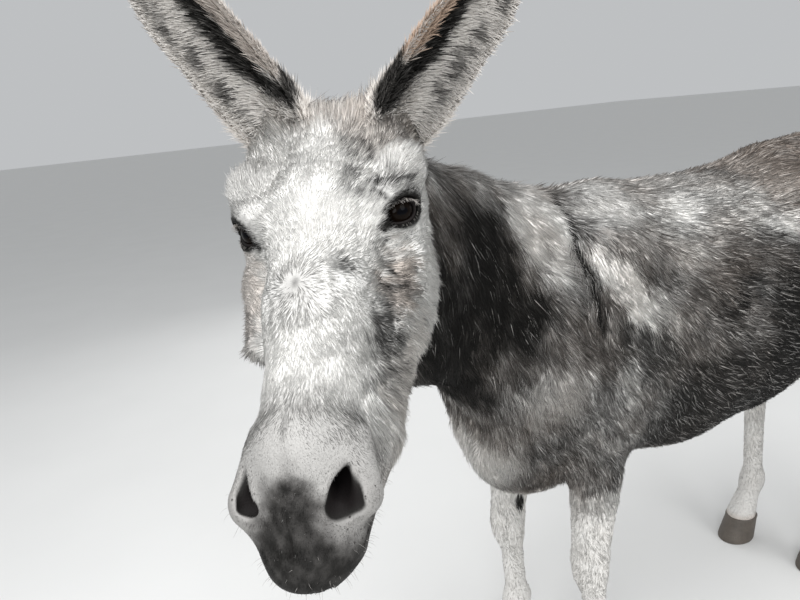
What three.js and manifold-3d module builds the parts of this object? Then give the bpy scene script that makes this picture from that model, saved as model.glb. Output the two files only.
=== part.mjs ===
// A standing donkey at life size, as a still model: millimetres, +Z up, it faces -Y, its left side is +X.
// The body is a set of smooth masses. Each part is lofted round its own spine out to the tips of the coat.
import * as THREE from "three";
import { mergeVertices } from "three/addons/utils/BufferGeometryUtils.js";
import Module from "manifold-3d";

const wasm = await Module();
wasm.setup();

// Driving dimensions
const SHOULDER_WIDTH = 112; // half the spread of the forelegs at the elbow
const FORE_STANCE = 96; // half the spread of the forelegs at the knee
const HIND_STANCE = 92; // half the spread of the hind legs at the hock
const FORE_STEP = { left: 12, right: -38 }; // how far back each forefoot stands
const HIND_STEP = { left: 25, right: -25 }; // how far back each hind foot stands
const CORONET = 60; // height of the top of a hoof
const HOOF_WIDTH = 80;
const HOOF_LENGTH = 98;
const EYE_RADIUS = 20;
const EYE_PLACE = [73, -3, 8]; // left eye's centre, from the point between the eyes
const EYE_OPENING = [42, 32]; // length and height between the lids
const EAR_LENGTH = 272;
const EAR_HALF_WIDTH = 41;
const EAR_THICKNESS = 8;
const HEAD_PLACE = [250, -500, 1086]; // the point between the eyes
const HEAD_TURN = 57.5; // degrees to the left
const HEAD_DROP = 26; // degrees that the nose hangs below level
const HEAD_TILT = -4.5; // degrees
const HEAD_BACK = 212; // how far behind the eyes the head is lofted
const TAIL_LENGTH = 640;
const GAP = 0.5; // width of the cuts that part the body
const BLOCK = 2000; // edge of the blocks that trim the parts, longer than the body

const COAT = { color: 0x8c8781, roughness: 0.95, metalness: 0 };
const PALE_COAT = { color: 0xc9c5bd, roughness: 0.95, metalness: 0 };
const DARK_COAT = { color: 0x4d4a48, roughness: 0.95, metalness: 0 };
const HORN = { color: 0x3a3633, roughness: 0.55, metalness: 0 };
const EYE = { color: 0x0c0a09, roughness: 0.06, metalness: 0 };

const ACROSS = new THREE.Vector3(1, 0, 0);
const BACK = new THREE.Vector3(0, 1, 0);
const UP = new THREE.Vector3(0, 0, 1);
const SIDES = [["left", 1], ["right", -1]];
const { clamp, lerp, degToRad } = THREE.MathUtils;

// ---- masses: each is a function that gives about how far a point lies outside it

function ellipticReach(x, y, z, width, height, depth) {
  const reach = Math.hypot(x, y, z) + 1e-6;
  const ratio = Math.hypot(x / width, y / height, z / depth) + 1e-6 / width;
  return reach - Math.min(reach / ratio, 2 * Math.max(width, height, depth));
}

function lump(centre, radii) {
  return (p) => ellipticReach(p.x - centre[0], p.y - centre[1], p.z - centre[2], ...radii);
}

function limb(start, end, startRadii, endRadii, side = [1, 0, 0]) {
  const origin = new THREE.Vector3(...start);
  const along = new THREE.Vector3(...end).sub(origin);
  const length = along.length();
  along.normalize();
  const across = new THREE.Vector3(...side);
  across.addScaledVector(along, -across.dot(along)).normalize();
  const up = new THREE.Vector3().crossVectors(along, across);
  const local = new THREE.Vector3();
  return (p) => {
    local.subVectors(p, origin);
    const distance = local.dot(along);
    const t = clamp(distance / length, 0, 1);
    const width = lerp(startRadii[0], endRadii[0], t);
    const height = lerp(startRadii[1], endRadii[1], t);
    const beyond = distance - t * length;
    return ellipticReach(local.dot(across), local.dot(up), beyond, width, height, Math.min(width, height));
  };
}

// masses in a row, each from one station to the next
function chain(stations, side) {
  return stations.slice(1).map(([end, radii], i) => {
    return limb(stations[i][0], end, stations[i][1], radii, side);
  });
}

function softMin(a, b, softness) {
  const near = Math.max(softness - Math.abs(a - b), 0) / softness;
  return Math.min(a, b) - near * near * softness * 0.25;
}

function blend(softness, masses) {
  return (p) => masses.reduce((sum, mass) => softMin(sum, mass(p), softness), Infinity);
}

function hollow(softness, form, masses) {
  return (p) => masses.reduce((sum, mass) => -softMin(-sum, mass(p), softness), form(p));
}

function bothSides(make) {
  return [...make(1), ...make(-1)];
}

// ---- trunk

const trunkForm = blend(60, [
  ...chain([
    [[0, -85, 790], [122, 180]],
    [[0, 60, 778], [172, 256]],
    [[0, 230, 760], [208, 258]],
    [[0, 400, 766], [210, 252]],
    [[0, 560, 822], [186, 212]],
    [[0, 705, 862], [145, 155]],
  ]),
  limb([0, -70, 935], [0, 110, 965], [50, 72], [48, 58]), // withers
  limb([0, 580, 1000], [0, 700, 1020], [80, 60], [66, 56]), // croup
  lump([0, -70, 592], [100, 130, 112]), // brisket
  ...bothSides((s) => [
    limb([s * 112, 45, 925], [s * 128, -105, 770], [42, 80], [55, 85]), // shoulder blade
    limb([s * 128, -110, 750], [s * 112, 10, 635], [52, 62], [50, 66]), // upper arm
    limb([s * 60, -170, 770], [s * 64, -130, 620], [60, 62], [52, 60]), // breast
    lump([s * 140, 525, 965], [42, 62, 42]), // point of hip
    limb([s * 105, 605, 890], [s * 122, 642, 715], [82, 165], [64, 118]), // thigh
    limb([s * 68, 760, 890], [s * 92, 748, 715], [58, 70], [48, 60]), // buttock
    lump([s * 140, 550, 685], [52, 80, 92]), // stifle
  ]),
]);

// ---- legs, from the elbow and the stifle down to the coronet

function forelegStations(s, step) {
  return [
    [[s * SHOULDER_WIDTH, step * 0.2, 650], [50, 68]],
    [[s * FORE_STANCE, step - 25, 370], [33, 40]],
    [[s * FORE_STANCE, step - 20, 300], [24, 28]],
    [[s * FORE_STANCE, step - 16, 160], [23, 27]],
    [[s * FORE_STANCE, step - 24, 130], [25, 26]],
    [[s * FORE_STANCE, step - 52, 62], [36, 39]],
  ];
}

function forelegForm(s, step) {
  const [elbow, knee, cannonTop, fetlock, pastern, coronet] = forelegStations(s, step);
  return blend(22, [
    limb(elbow[0], knee[0], elbow[1], knee[1]),
    lump([s * FORE_STANCE, step - 27, 335], [37, 39, 50]), // knee
    limb(cannonTop[0], fetlock[0], cannonTop[1], fetlock[1]),
    lump([s * FORE_STANCE, step - 14, 146], [28, 34, 33]), // fetlock
    limb(pastern[0], coronet[0], pastern[1], coronet[1]),
  ]);
}

function hindlegStations(s, step) {
  return [
    [[s * 118, step * 0.2 + 635, 700], [54, 96]],
    [[s * 95, step + 708, 490], [33, 50]],
    [[s * HIND_STANCE, step + 745, 410], [25, 32]],
    [[s * HIND_STANCE, step + 752, 175], [23, 28]],
    [[s * HIND_STANCE, step + 744, 135], [25, 26]],
    [[s * HIND_STANCE, step + 714, 62], [36, 39]],
  ];
}

function hindlegForm(s, step) {
  const [stifle, hock, cannonTop, fetlock, pastern, coronet] = hindlegStations(s, step);
  return blend(22, [
    limb(stifle[0], hock[0], stifle[1], hock[1]),
    lump([s * HIND_STANCE, step + 733, 440], [33, 46, 54]), // hock
    // point of the hock
    limb([s * HIND_STANCE, step + 758, 520], [s * HIND_STANCE, step + 776, 466], [14, 20], [18, 20]),
    limb(cannonTop[0], fetlock[0], cannonTop[1], fetlock[1]),
    lump([s * HIND_STANCE, step + 754, 155], [29, 34, 34]), // fetlock
    limb(pastern[0], coronet[0], pastern[1], coronet[1]),
  ]);
}

// ---- head, in its own frame: the origin is between the eyes and the nose points along -Y

const headTurn = new THREE.Matrix4()
  .makeRotationZ(degToRad(HEAD_TURN))
  .multiply(new THREE.Matrix4().makeRotationX(degToRad(HEAD_DROP)))
  .multiply(new THREE.Matrix4().makeRotationY(degToRad(HEAD_TILT)));
const headFrame = new THREE.Matrix4().makeTranslation(...HEAD_PLACE).multiply(headTurn);

function fromHead(x, y, z) {
  return new THREE.Vector3(x, y, z).applyMatrix4(headFrame);
}

const skullForm = blend(28, [
  lump([0, 92, -5], [82, 92, 66]), // braincase
  limb([0, 112, 12], [0, 0, 14], [60, 50], [70, 46]), // forehead
  lump([0, 134, 28], [52, 36, 42]), // poll
  limb([0, 5, 4], [0, -120, -14], [66, 52], [52, 46]), // root of the nose
  limb([0, -120, -14], [0, -256, -38], [48, 46], [34, 37]), // nasal bone
  limb([0, -10, -45], [0, -235, -66], [74, 55], [48, 42]), // upper jaw
  limb([0, 60, -100], [0, -230, -98], [54, 46], [40, 28]), // between the jaws
  ...bothSides((s) => [
    limb([s * 68, -16, 32], [s * 89, 40, 28], [18, 18], [22, 22]), // brow
    limb([s * 82, 38, 4], [s * 78, 85, -20], [18, 20], [22, 28]), // behind the eye
    lump([s * EYE_PLACE[0], EYE_PLACE[1], EYE_PLACE[2]], [24, 24, 24]), // lids round the eye
    limb([s * 78, -20, -36], [s * 76, 65, -42], [23, 24], [24, 30]), // cheekbone
    limb([s * 82 - 7, -30, -50], [s * 68 - 7, -115, -56], [18, 22], [15, 20]), // facial crest
    lump([s * 60, 18, -100], [36, 102, 76]), // cheek
    limb([s * 60, 72, -128], [s * 41, -195, -105], [30, 42], [27, 27]), // jaw
    limb([s * 79, 46, 34], [s * 62, 114, 36], [23, 25], [32, 33]), // temple
    limb([s * 60, 122, 6], [s * 58, 158, 40], [36, 40], [28, 32]), // root of the ear
  ]),
]);

const muzzleForm = blend(18, [
  skullForm,
  limb([0, -254, -42], [0, -314, -88], [42, 34], [35, 27]), // end of the nose
  lump([0, -310, -92], [34, 30, 22]), // upper lip
  limb([0, -230, -114], [0, -298, -120], [38, 22], [30, 16]), // lower lip
  lump([0, -286, -130], [26, 26, 15]), // chin
  ...bothSides((s) => [
    limb([s * 35, -240, -48], [s * 44, -281, -60], [18, 18], [21, 22]), // wing of the nostril
    limb([s * 40, -205, -88], [s * 23 + 3, -298, -96], [27, 27], [18, 20]), // side of the lips
  ]),
]);

const headForm = hollow(14, muzzleForm, bothSides((s) => [
  lump([s * 62, 60, 68], [18, 26, 9]), // above the eye
  lump([s * 72, -140, -2], [16, 60, 16]), // beside the nasal bone
]));

const NECK_SIDE = [0.96, 0.28, 0];
const neckStations = [
  [[0, -30, 850], [118, 181]],
  [[14, -150, 890], [100, 172]],
  [[48, -265, 948], [84, 160]],
  [[88, -350, 1003], [76, 131]],
  [fromHead(0, 125, -55).toArray(), [66, 98]],
];
const neckForm = blend(60, chain(neckStations, NECK_SIDE));
const neckAndTrunkForm = blend(60, [trunkForm, neckForm]);
const intoHead = headFrame.clone().invert();

function bodyForm(p) {
  return softMin(neckAndTrunkForm(p), headForm(p.clone().applyMatrix4(intoHead)), 40);
}

// ---- lofting

// where a ray from inside the form leaves it
function leave(form, start, direction) {
  const point = start.clone();
  let travelled = 0;
  let outside = form(point);
  while (outside < 0) {
    travelled += Math.max(-outside * 0.9, 0.5);
    outside = form(point.copy(start).addScaledVector(direction, travelled));
  }
  for (let i = 0; i < 6; i += 1) {
    travelled -= form(point.copy(start).addScaledVector(direction, travelled)) * 0.8;
  }
  return point.copy(start).addScaledVector(direction, travelled);
}

// a ring of points on the form, in the plane of across and up
function ringRound(form, centre, across, up, count) {
  return Array.from({ length: count }, (_, i) => {
    const angle = (2 * Math.PI * i) / count;
    const ray = across.clone().multiplyScalar(Math.cos(angle)).addScaledVector(up, Math.sin(angle));
    return leave(form, centre, ray);
  });
}

// a closed mesh through rings of equal count, its two ends closed by fans;
// looking along the way from the first ring to the last, each ring runs anticlockwise
function loft(rings) {
  const count = rings[0].length;
  const points = rings.flat();
  const ends = [rings[0], rings[rings.length - 1]].map((ring) => {
    return ring.reduce((sum, p) => sum.add(p), new THREE.Vector3()).divideScalar(count);
  });
  const index = [];
  for (let i = 0; i < rings.length - 1; i += 1) {
    for (let j = 0; j < count; j += 1) {
      const [a, b] = [i * count + j, i * count + ((j + 1) % count)];
      index.push(a, a + count, b, b, a + count, b + count);
    }
  }
  const last = (rings.length - 1) * count;
  for (let j = 0; j < count; j += 1) {
    const next = (j + 1) % count;
    index.push(points.length, j, next, points.length + 1, last + next, last + j);
  }
  const geometry = new THREE.BufferGeometry().setFromPoints([...points, ...ends]);
  geometry.setIndex(index);
  return geometry;
}

function toSolid(geometry, matrix = new THREE.Matrix4()) {
  const bare = geometry.clone().applyMatrix4(matrix);
  bare.deleteAttribute("normal");
  bare.deleteAttribute("uv");
  const merged = mergeVertices(bare, 1e-4);
  const corners = merged.index.array;
  const kept = [];
  for (let i = 0; i < corners.length; i += 3) {
    const [a, b, c] = corners.subarray(i, i + 3);
    if (a !== b && b !== c && c !== a) kept.push(a, b, c);
  }
  return new wasm.Manifold(new wasm.Mesh({
    numProp: 3,
    vertProperties: new Float32Array(merged.attributes.position.array),
    triVerts: new Uint32Array(kept),
  }));
}

function toGeometry(solid) {
  const { numProp, vertProperties, triVerts } = solid.getMesh();
  const geometry = new THREE.BufferGeometry();
  geometry.setAttribute("position", new THREE.BufferAttribute(vertProperties, numProp));
  geometry.setIndex(new THREE.BufferAttribute(triVerts, 1));
  geometry.computeVertexNormals();
  return geometry;
}

// positions from one end to the other, closer together near both ends
function easedSteps(from, to, count) {
  return Array.from({ length: count }, (_, i) => {
    const t = i / (count - 1);
    return lerp(from, to, lerp(t, 0.5 - 0.5 * Math.cos(Math.PI * t), 0.75));
  });
}

// the places where the form ends in front of and behind a point inside it
function reachAlong(form, inside, direction, margin) {
  const front = leave(form, inside, direction.clone().negate());
  const back = leave(form, inside, direction);
  return [front.dot(direction) + margin, back.dot(direction) - margin];
}

function trunkSolid() {
  const middle = new THREE.Vector3(0, 300, 790);
  const [front, back] = reachAlong(trunkForm, middle, BACK, 4);
  const rings = easedSteps(front, back, 18).map((y) => {
    const centre = new THREE.Vector3(0, y, lerp(770, 840, clamp(y / 700, 0, 1)));
    return ringRound(bodyForm, centre, ACROSS, UP, 24);
  });
  return toSolid(loft(rings));
}

function neckSolid() {
  const stations = neckStations.map(([point]) => new THREE.Vector3(...point));
  const spine = new THREE.CatmullRomCurve3([...stations, fromHead(0, 78, -42)]);
  const rings = easedSteps(0, 1, 10).map((t) => {
    const along = spine.getTangent(t);
    const across = new THREE.Vector3(...NECK_SIDE);
    across.addScaledVector(along, -across.dot(along)).normalize();
    return ringRound(bodyForm, spine.getPoint(t), across, across.clone().cross(along), 20);
  });
  return toSolid(loft(rings));
}

function headSolid() {
  const across = ACROSS.clone().transformDirection(headFrame);
  const up = UP.clone().transformDirection(headFrame);
  const [front] = reachAlong(headForm, new THREE.Vector3(0, -200, -80), BACK, 1.5);
  const rings = easedSteps(front, HEAD_BACK, 33).map((y) => {
    const middle = fromHead(0, y, -50 + 0.13 * y - 0.8 * Math.max(0, y - 120));
    return ringRound(bodyForm, middle, across, up, 28);
  });
  return toSolid(loft(rings));
}

// a leg's rings are level and follow its joints down
function legSolid(form, stations) {
  const top = stations[0][0][2];
  const foot = stations[stations.length - 1][0][2];
  const heights = stations.map(([point]) => point[2]);
  const rings = Array.from({ length: 17 }, (_, i) => {
    const z = lerp(top, CORONET, i / 16);
    const above = Math.max(heights.findIndex((height) => height <= Math.max(z, foot)), 1);
    const [upper, lower] = [stations[above - 1][0], stations[above][0]];
    const t = clamp((upper[2] - z) / (upper[2] - lower[2]), 0, 1);
    const centre = new THREE.Vector3(lerp(upper[0], lower[0], t), lerp(upper[1], lower[1], t), z);
    return ringRound(form, centre, ACROSS, BACK, 10);
  });
  return toSolid(loft(rings));
}

// a boxy upright hoof: flat sole, sloping toe, steeper heel
function hoofGeometry() {
  const rings = [0, 5, 30, CORONET - GAP].map((z) => {
    const rise = z / CORONET;
    const width = (HOOF_WIDTH / 2) * (z === 0 ? 0.96 : lerp(1, 0.88, rise));
    const length = (HOOF_LENGTH / 2) * (z === 0 ? 0.97 : lerp(1, 0.84, rise));
    return Array.from({ length: 16 }, (_, i) => {
      const angle = (2 * Math.PI * i) / 16;
      const y = -Math.sin(angle) * length;
      return new THREE.Vector3(Math.cos(angle) * width, Math.min(y, length * 0.8) + 20 * rise, z);
    });
  });
  return loft(rings);
}

// a cupped leaf that opens towards the face direction
const EARS = {
  left: { root: [54, 168, 25], along: [0.6, -0.34, 0.72], face: [0.38, -0.92, 0.04] },
  right: { root: [-54, 168, 25], along: [-0.28, -0.21, 0.94], face: [0.25, -0.93, -0.28] },
};

function earSection(t) {
  const taper = Math.sqrt(Math.max(0, 1 - Math.pow(Math.max(0, t - 0.42) / 0.6, 2.2)));
  const half = EAR_HALF_WIDTH * Math.min(1, 0.54 + 1.4 * t) * taper + 1.5;
  const curl = degToRad(lerp(158, 60, Math.pow(t, 0.6)));
  const radius = half / (curl < Math.PI / 2 ? Math.sin(curl) : 1);
  const depth = THREE.MathUtils.smoothstep(t, 0.08, 0.3);
  return { curl, radius, depth };
}

function earSolid(side) {
  const { root, along, face } = EARS[side];
  const up = new THREE.Vector3(...along).normalize();
  const front = new THREE.Vector3(...face);
  front.addScaledVector(up, -front.dot(up)).normalize();
  const across = new THREE.Vector3().crossVectors(up, front);
  const half = EAR_THICKNESS / 2;
  const rings = Array.from({ length: 12 }, (_, i) => {
    const t = i / 11;
    const { curl, radius, depth } = earSection(t);
    const spine = new THREE.Vector3(...root).addScaledVector(up, EAR_LENGTH * (t - 0.06));
    spine.addScaledVector(front, 18 * t * t - 8 * Math.sin(Math.PI * t) + radius);
    const onArc = (reach, angle) => spine.clone()
      .addScaledVector(front, -reach * Math.cos(angle))
      .addScaledVector(across, reach * Math.sin(angle));
    const turns = Array.from({ length: 7 }, (_, j) => j / 3 - 1);
    const outer = turns.map((turn) => onArc(radius + half, turn * curl));
    const inner = turns.map((turn) => {
      const reach = Math.max(radius - half, 0.5);
      const mouth = spine.clone()
        .addScaledVector(front, -reach * Math.cos(curl))
        .addScaledVector(across, -turn * reach * Math.sin(curl));
      return mouth.lerp(onArc(reach, -turn * curl), depth);
    });
    return [...outer, ...inner];
  });
  return toSolid(loft(rings), headFrame);
}

// the tail hangs from the croup and swells into its switch
function tailSolid() {
  const spine = new THREE.CatmullRomCurve3([
    new THREE.Vector3(0, 740, 990),
    new THREE.Vector3(0, 832, 968),
    new THREE.Vector3(0, 888, 890),
    new THREE.Vector3(0, 902, 770),
    new THREE.Vector3(0, 904, 980 - TAIL_LENGTH),
  ]);
  const rings = Array.from({ length: 14 }, (_, i) => {
    const t = i / 13;
    const along = spine.getPointAt(t);
    const tangent = spine.getTangentAt(t);
    const behind = new THREE.Vector3().crossVectors(ACROSS, tangent);
    const dock = lerp(27, 15, Math.min(t / 0.45, 1));
    const tassel = 16 * Math.sin(Math.PI * clamp((t - 0.45) / 0.55, 0, 1));
    const radius = (dock + tassel) * (t > 0.95 ? 0.35 : 1);
    return Array.from({ length: 10 }, (_, j) => {
      const angle = (2 * Math.PI * j) / 10;
      return along.clone()
        .addScaledVector(ACROSS, radius * Math.cos(angle))
        .addScaledVector(behind, radius * Math.sin(angle));
    });
  });
  return toSolid(loft(rings));
}

// ---- eyes, nostrils and mouth, cut into the head

// a frame at a point, its z axis along the direction and its x axis near the side
function alongFrame(origin, direction, side) {
  const z = new THREE.Vector3(...direction).normalize();
  const x = new THREE.Vector3(...side);
  x.addScaledVector(z, -x.dot(z)).normalize();
  const basis = new THREE.Matrix4().makeBasis(x, new THREE.Vector3().crossVectors(z, x), z);
  return basis.setPosition(...origin);
}

function socketCuts(s) {
  const centre = [s * EYE_PLACE[0], EYE_PLACE[1], EYE_PLACE[2]];
  const globe = new THREE.SphereGeometry(EYE_RADIUS + GAP, 12, 8).translate(...centre);
  const slit = new THREE.CylinderGeometry(0.6, 0.42, 60, 12).rotateX(Math.PI / 2).translate(0, 0, 34);
  slit.scale(EYE_OPENING[0], EYE_OPENING[1], 1);
  const lids = alongFrame(centre, [s * 0.62, -0.72, 0.32], [s * 0.74, 0.66, 0.12]);
  return [toSolid(globe, headFrame), toSolid(slit, headFrame.clone().multiply(lids))];
}

// a drop-shaped opening, wider at its lower, inner end
function nostrilCut(s) {
  const profile = [[0, -30], [7, -26], [10, -8], [14, 15], [11, 28], [0, 33]];
  const drop = new THREE.LatheGeometry(profile.map(([radius, z]) => new THREE.Vector2(radius, z)), 10);
  drop.rotateX(Math.PI / 2).scale(1, 1.5, 1);
  const frame = alongFrame([s * 37, -281, -47], [s * -0.22, -0.5, -0.82], [s * 0.85, -0.5, 0]);
  return toSolid(drop, headFrame.clone().multiply(frame));
}

function slab(size, frame) {
  return toSolid(new THREE.BoxGeometry(...size), frame);
}

function shift(x, y, z) {
  return new THREE.Matrix4().makeTranslation(x, y, z);
}

function mouthCuts() {
  const line = headFrame.clone().multiply(alongFrame([0, -283, -97], [0, 0.22, 1], [1, 0, 0]));
  const corner = headFrame.clone().multiply(shift(0, -214, -125));
  return [slab([140, 152, 1.2], line), slab([140, GAP, 80], corner)];
}

// ---- the parts, trimmed to meet each other and parted with thin cuts

const THROAT = headFrame.clone().multiply(alongFrame([0, 148, -90], [0, 0.93, -0.37], [1, 0, 0]));
const NECK_BASE = alongFrame([10, -125, 900], [-0.1, 0.87, -0.3], [1, 0.1, 0]);

// cut away all that lies past a frame's level, which its z axis points to; way is 1 or -1
function trim(solid, frame, way) {
  const past = frame.clone().multiply(shift(0, 0, way * (BLOCK / 2 - GAP / 2)));
  return solid.subtract(slab([BLOCK, BLOCK, BLOCK], past));
}

function join(solids) {
  return solids.reduce((whole, solid) => whole.add(solid));
}

function part(whole, cuts) {
  return cuts.reduce((solid, cut) => solid.subtract(cut), whole);
}

function partedHead() {
  const whole = join([trim(headSolid(), THROAT, 1), ...SIDES.map(([side]) => earSolid(side))]);
  const earRoots = SIDES.map(([side]) => {
    const { root, along, face } = EARS[side];
    const start = new THREE.Vector3(...root).addScaledVector(new THREE.Vector3(...along).normalize(), 60);
    start.addScaledVector(new THREE.Vector3(...face), 30);
    return slab([112, 112, GAP], headFrame.clone().multiply(alongFrame(start.toArray(), along, [0, 1, 0])));
  });
  const openings = SIDES.flatMap(([, s]) => [...socketCuts(s), nostrilCut(s)]);
  return part(whole, [...earRoots, ...mouthCuts(), ...openings]);
}

function partedNeck() {
  return trim(trim(neckSolid(), THROAT, -1), NECK_BASE, 1);
}

function partedTrunk() {
  const legs = SIDES.flatMap(([side, s]) => [
    legSolid(forelegForm(s, FORE_STEP[side]), forelegStations(s, FORE_STEP[side])),
    legSolid(hindlegForm(s, HIND_STEP[side]), hindlegStations(s, HIND_STEP[side])),
  ]);
  const tailRoot = alongFrame([0, 864, 934], [0, 0.6, -0.8], [1, 0, 0]);
  const legCuts = SIDES.flatMap(([, s]) => [
    slab([150, 320, GAP], shift(s * 100, 0, 480)),
    slab([110, 200, GAP], shift(s * FORE_STANCE, -10, 285)),
    slab([230, 320, GAP], alongFrame([s * 118, 680, 617], [0, -0.41, 0.912], [1, 0, 0])),
    slab([110, 240, GAP], shift(s * HIND_STANCE, 745, 385)),
  ]);
  return part(join([trim(trunkSolid(), NECK_BASE, -1), tailSolid(), ...legs]), [
    slab([600, GAP, 900], shift(0, 150, 760)),
    slab([600, GAP, 900], shift(0, 500, 760)),
    slab([90, 90, GAP], tailRoot),
    slab([90, 120, GAP], shift(0, 900, 720)),
    ...legCuts,
  ]);
}

// a point near the middle of each part of the body
const PART_PLACES = {
  head: fromHead(0, -80, -40).toArray(),
  lower_lip: fromHead(0, -280, -122).toArray(),
  neck: [50, -260, 960],
  shoulders: [0, 0, 780],
  barrel: [0, 325, 760],
  hindquarters: [0, 660, 850],
  tail_dock: [0, 888, 830],
  tail_switch: [0, 903, 530],
};
SIDES.forEach(([side, s]) => {
  const { root, along } = EARS[side];
  const tip = new THREE.Vector3(...root).addScaledVector(new THREE.Vector3(...along), EAR_LENGTH * 0.5);
  PART_PLACES[`ear_${side}`] = fromHead(...tip.toArray()).toArray();
  PART_PLACES[`foreleg_${side}`] = [s * 100, FORE_STEP[side] - 15, 380];
  PART_PLACES[`fore_cannon_${side}`] = [s * FORE_STANCE, FORE_STEP[side] - 25, 170];
  PART_PLACES[`hindleg_${side}`] = [s * 100, HIND_STEP[side] + 700, 490];
  PART_PLACES[`hind_cannon_${side}`] = [s * HIND_STANCE, HIND_STEP[side] + 745, 220];
});

function nearestPart(solid) {
  const { min, max } = solid.boundingBox();
  const distance = (name) => Math.hypot(...PART_PLACES[name].map((value, i) => value - (min[i] + max[i]) / 2));
  return Object.keys(PART_PLACES).reduce((best, name) => (distance(name) < distance(best) ? name : best));
}

function bodyParts() {
  const parts = new Map();
  const solids = [partedHead(), partedNeck(), partedTrunk()].flatMap((solid) => solid.decompose());
  solids.forEach((solid) => {
    const name = nearestPart(solid);
    if (parts.has(name)) throw new Error(`two pieces near ${name}`);
    parts.set(name, solid);
  });
  return parts;
}

function named(name, geometry, look) {
  const mesh = new THREE.Mesh(geometry, new THREE.MeshStandardMaterial(look));
  mesh.name = name;
  return mesh;
}

function lookOf(name) {
  if (name === "neck" || name === "tail_switch") return DARK_COAT;
  return /head|lip|ear|cannon/.test(name) ? PALE_COAT : COAT;
}

function eyes() {
  return SIDES.map(([side, s]) => {
    const eye = named(`eye_${side}`, new THREE.SphereGeometry(EYE_RADIUS, 12, 8), EYE);
    eye.position.copy(fromHead(s * EYE_PLACE[0], EYE_PLACE[1], EYE_PLACE[2]));
    eye.setRotationFromMatrix(headTurn);
    return eye;
  });
}

function hooves() {
  return SIDES.flatMap(([side, s]) => {
    const fore = named(`hoof_fore_${side}`, hoofGeometry(), HORN);
    fore.position.set(s * FORE_STANCE, FORE_STEP[side] - 70, 0);
    const hind = named(`hoof_hind_${side}`, hoofGeometry(), HORN);
    hind.position.set(s * HIND_STANCE, HIND_STEP[side] + 696, 0);
    return [fore, hind];
  });
}

const donkey = new THREE.Group();
bodyParts().forEach((solid, name) => donkey.add(named(name, toGeometry(solid), lookOf(name))));
donkey.add(...eyes(), ...hooves());

// the origin is on the floor, under the middle of the whole animal
const box = new THREE.Box3().setFromObject(donkey, true);
donkey.position.set(-(box.min.x + box.max.x) / 2, -(box.min.y + box.max.y) / 2, -box.min.z);

export default donkey;
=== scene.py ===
"""A standing grey donkey at life size, with its head turned to its left.

The body is a set of smooth masses in millimetres: x to the animal's left, y to its tail, z up, with the
floor at z 0. The skin is the surface of those masses less the depth of the coat, and every tuft of the coat
is a closed solid that grows from it. In the functions, s is 1 on the left and -1 on the right, p holds
places on the body and h the same places in the head's frame.
"""
import functools
import itertools
import math

import bmesh
import bpy
import numpy as np
from bpy.props import FloatProperty, FloatVectorProperty, IntProperty, PointerProperty
from bpy.types import Operator, Panel, PropertyGroup
from mathutils import Matrix, Vector


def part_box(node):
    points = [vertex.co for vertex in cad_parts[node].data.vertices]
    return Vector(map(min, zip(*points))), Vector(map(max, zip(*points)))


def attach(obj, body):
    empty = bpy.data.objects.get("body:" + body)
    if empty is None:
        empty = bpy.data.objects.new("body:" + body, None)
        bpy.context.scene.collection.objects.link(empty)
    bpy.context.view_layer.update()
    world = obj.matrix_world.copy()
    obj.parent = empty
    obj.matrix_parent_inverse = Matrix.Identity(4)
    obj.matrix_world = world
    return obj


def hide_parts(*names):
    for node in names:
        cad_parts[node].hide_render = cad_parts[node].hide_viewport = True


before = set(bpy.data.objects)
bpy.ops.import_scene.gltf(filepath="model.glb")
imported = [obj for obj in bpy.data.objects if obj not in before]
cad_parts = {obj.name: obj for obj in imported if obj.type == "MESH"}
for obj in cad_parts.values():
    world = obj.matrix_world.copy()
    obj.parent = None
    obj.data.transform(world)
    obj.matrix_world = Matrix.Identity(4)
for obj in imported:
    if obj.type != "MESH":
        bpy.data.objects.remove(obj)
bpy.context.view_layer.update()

bl_info = {
    "name": "Donkey",
    "version": (1, 0, 0),
    "blender": (4, 5, 0),
    "location": "3D View > Sidebar > Donkey",
    "description": "Dresses the solids of a standing donkey with skin, coat, eyes and hooves",
    "category": "Object",
}

MM = 0.001
SIDES = (("left", 1), ("right", -1))

SHOULDER_WIDTH = 112
FORE_STANCE = 96
HIND_STANCE = 92
FORE_STEP = {"left": 12, "right": -38}
HIND_STEP = {"left": 25, "right": -25}
CORONET = 60
HOOF_WIDTH = 80
HOOF_LENGTH = 98
EYE_RADIUS = 20
EYE_SLIT = (23, 15)  # half the length and height of the gap between the lids' roots
LID_LENGTHS = (20, 22)  # from the eye's middle to the outer and the inner corner of the lids
LID_HEIGHT = 9.5
EYE_PLACE = (73, -3, 8)
EAR_LENGTH = 272
EAR_HALF_WIDTH = 41
EAR_CURL = (158, 60)  # degrees from an ear's back to its edges, at root and tip
HEAD_PLACE = np.array((250, -500, 1086), float)
HEAD_TURN = 57.5
HEAD_DROP = 26
HEAD_TILT = -4.5
TAIL_TIP = 340
TAIL_BACK = 903  # how far back the tail hangs
FORE_HOOF = -70  # how far behind its step a hoof's middle lies
HIND_HOOF = 696
EAR_WALL = 2.4  # half the thickness of an ear's skin
COAT_DEPTHS = {"body": 9, "leg": 4.5, "foot": 2.5, "face": 5.5, "muzzle": 1.8, "lids": 1.6}

EYE_OUT = (0.55, -0.75, 0.37)
EYE_ALONG = (0.83, 0.52, -0.19)
EARS = {
    "left": {"root": (54, 168, 25), "along": (0.6, -0.34, 0.72), "face": (0.38, -0.92, 0.04)},
    "right": {"root": (-54, 168, 25), "along": (-0.28, -0.21, 0.94), "face": (0.25, -0.93, -0.28)},
}
WHORL = np.array((-4, -127, 20), float)  # where the hair of the face parts


# ---- small maths


def unit(vectors):
    vectors = np.asarray(vectors, float)
    return vectors / np.maximum(np.linalg.norm(vectors, axis=-1, keepdims=True), 1e-9)


def dot(a, b):
    return np.sum(np.asarray(a) * np.asarray(b), axis=-1)


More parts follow.
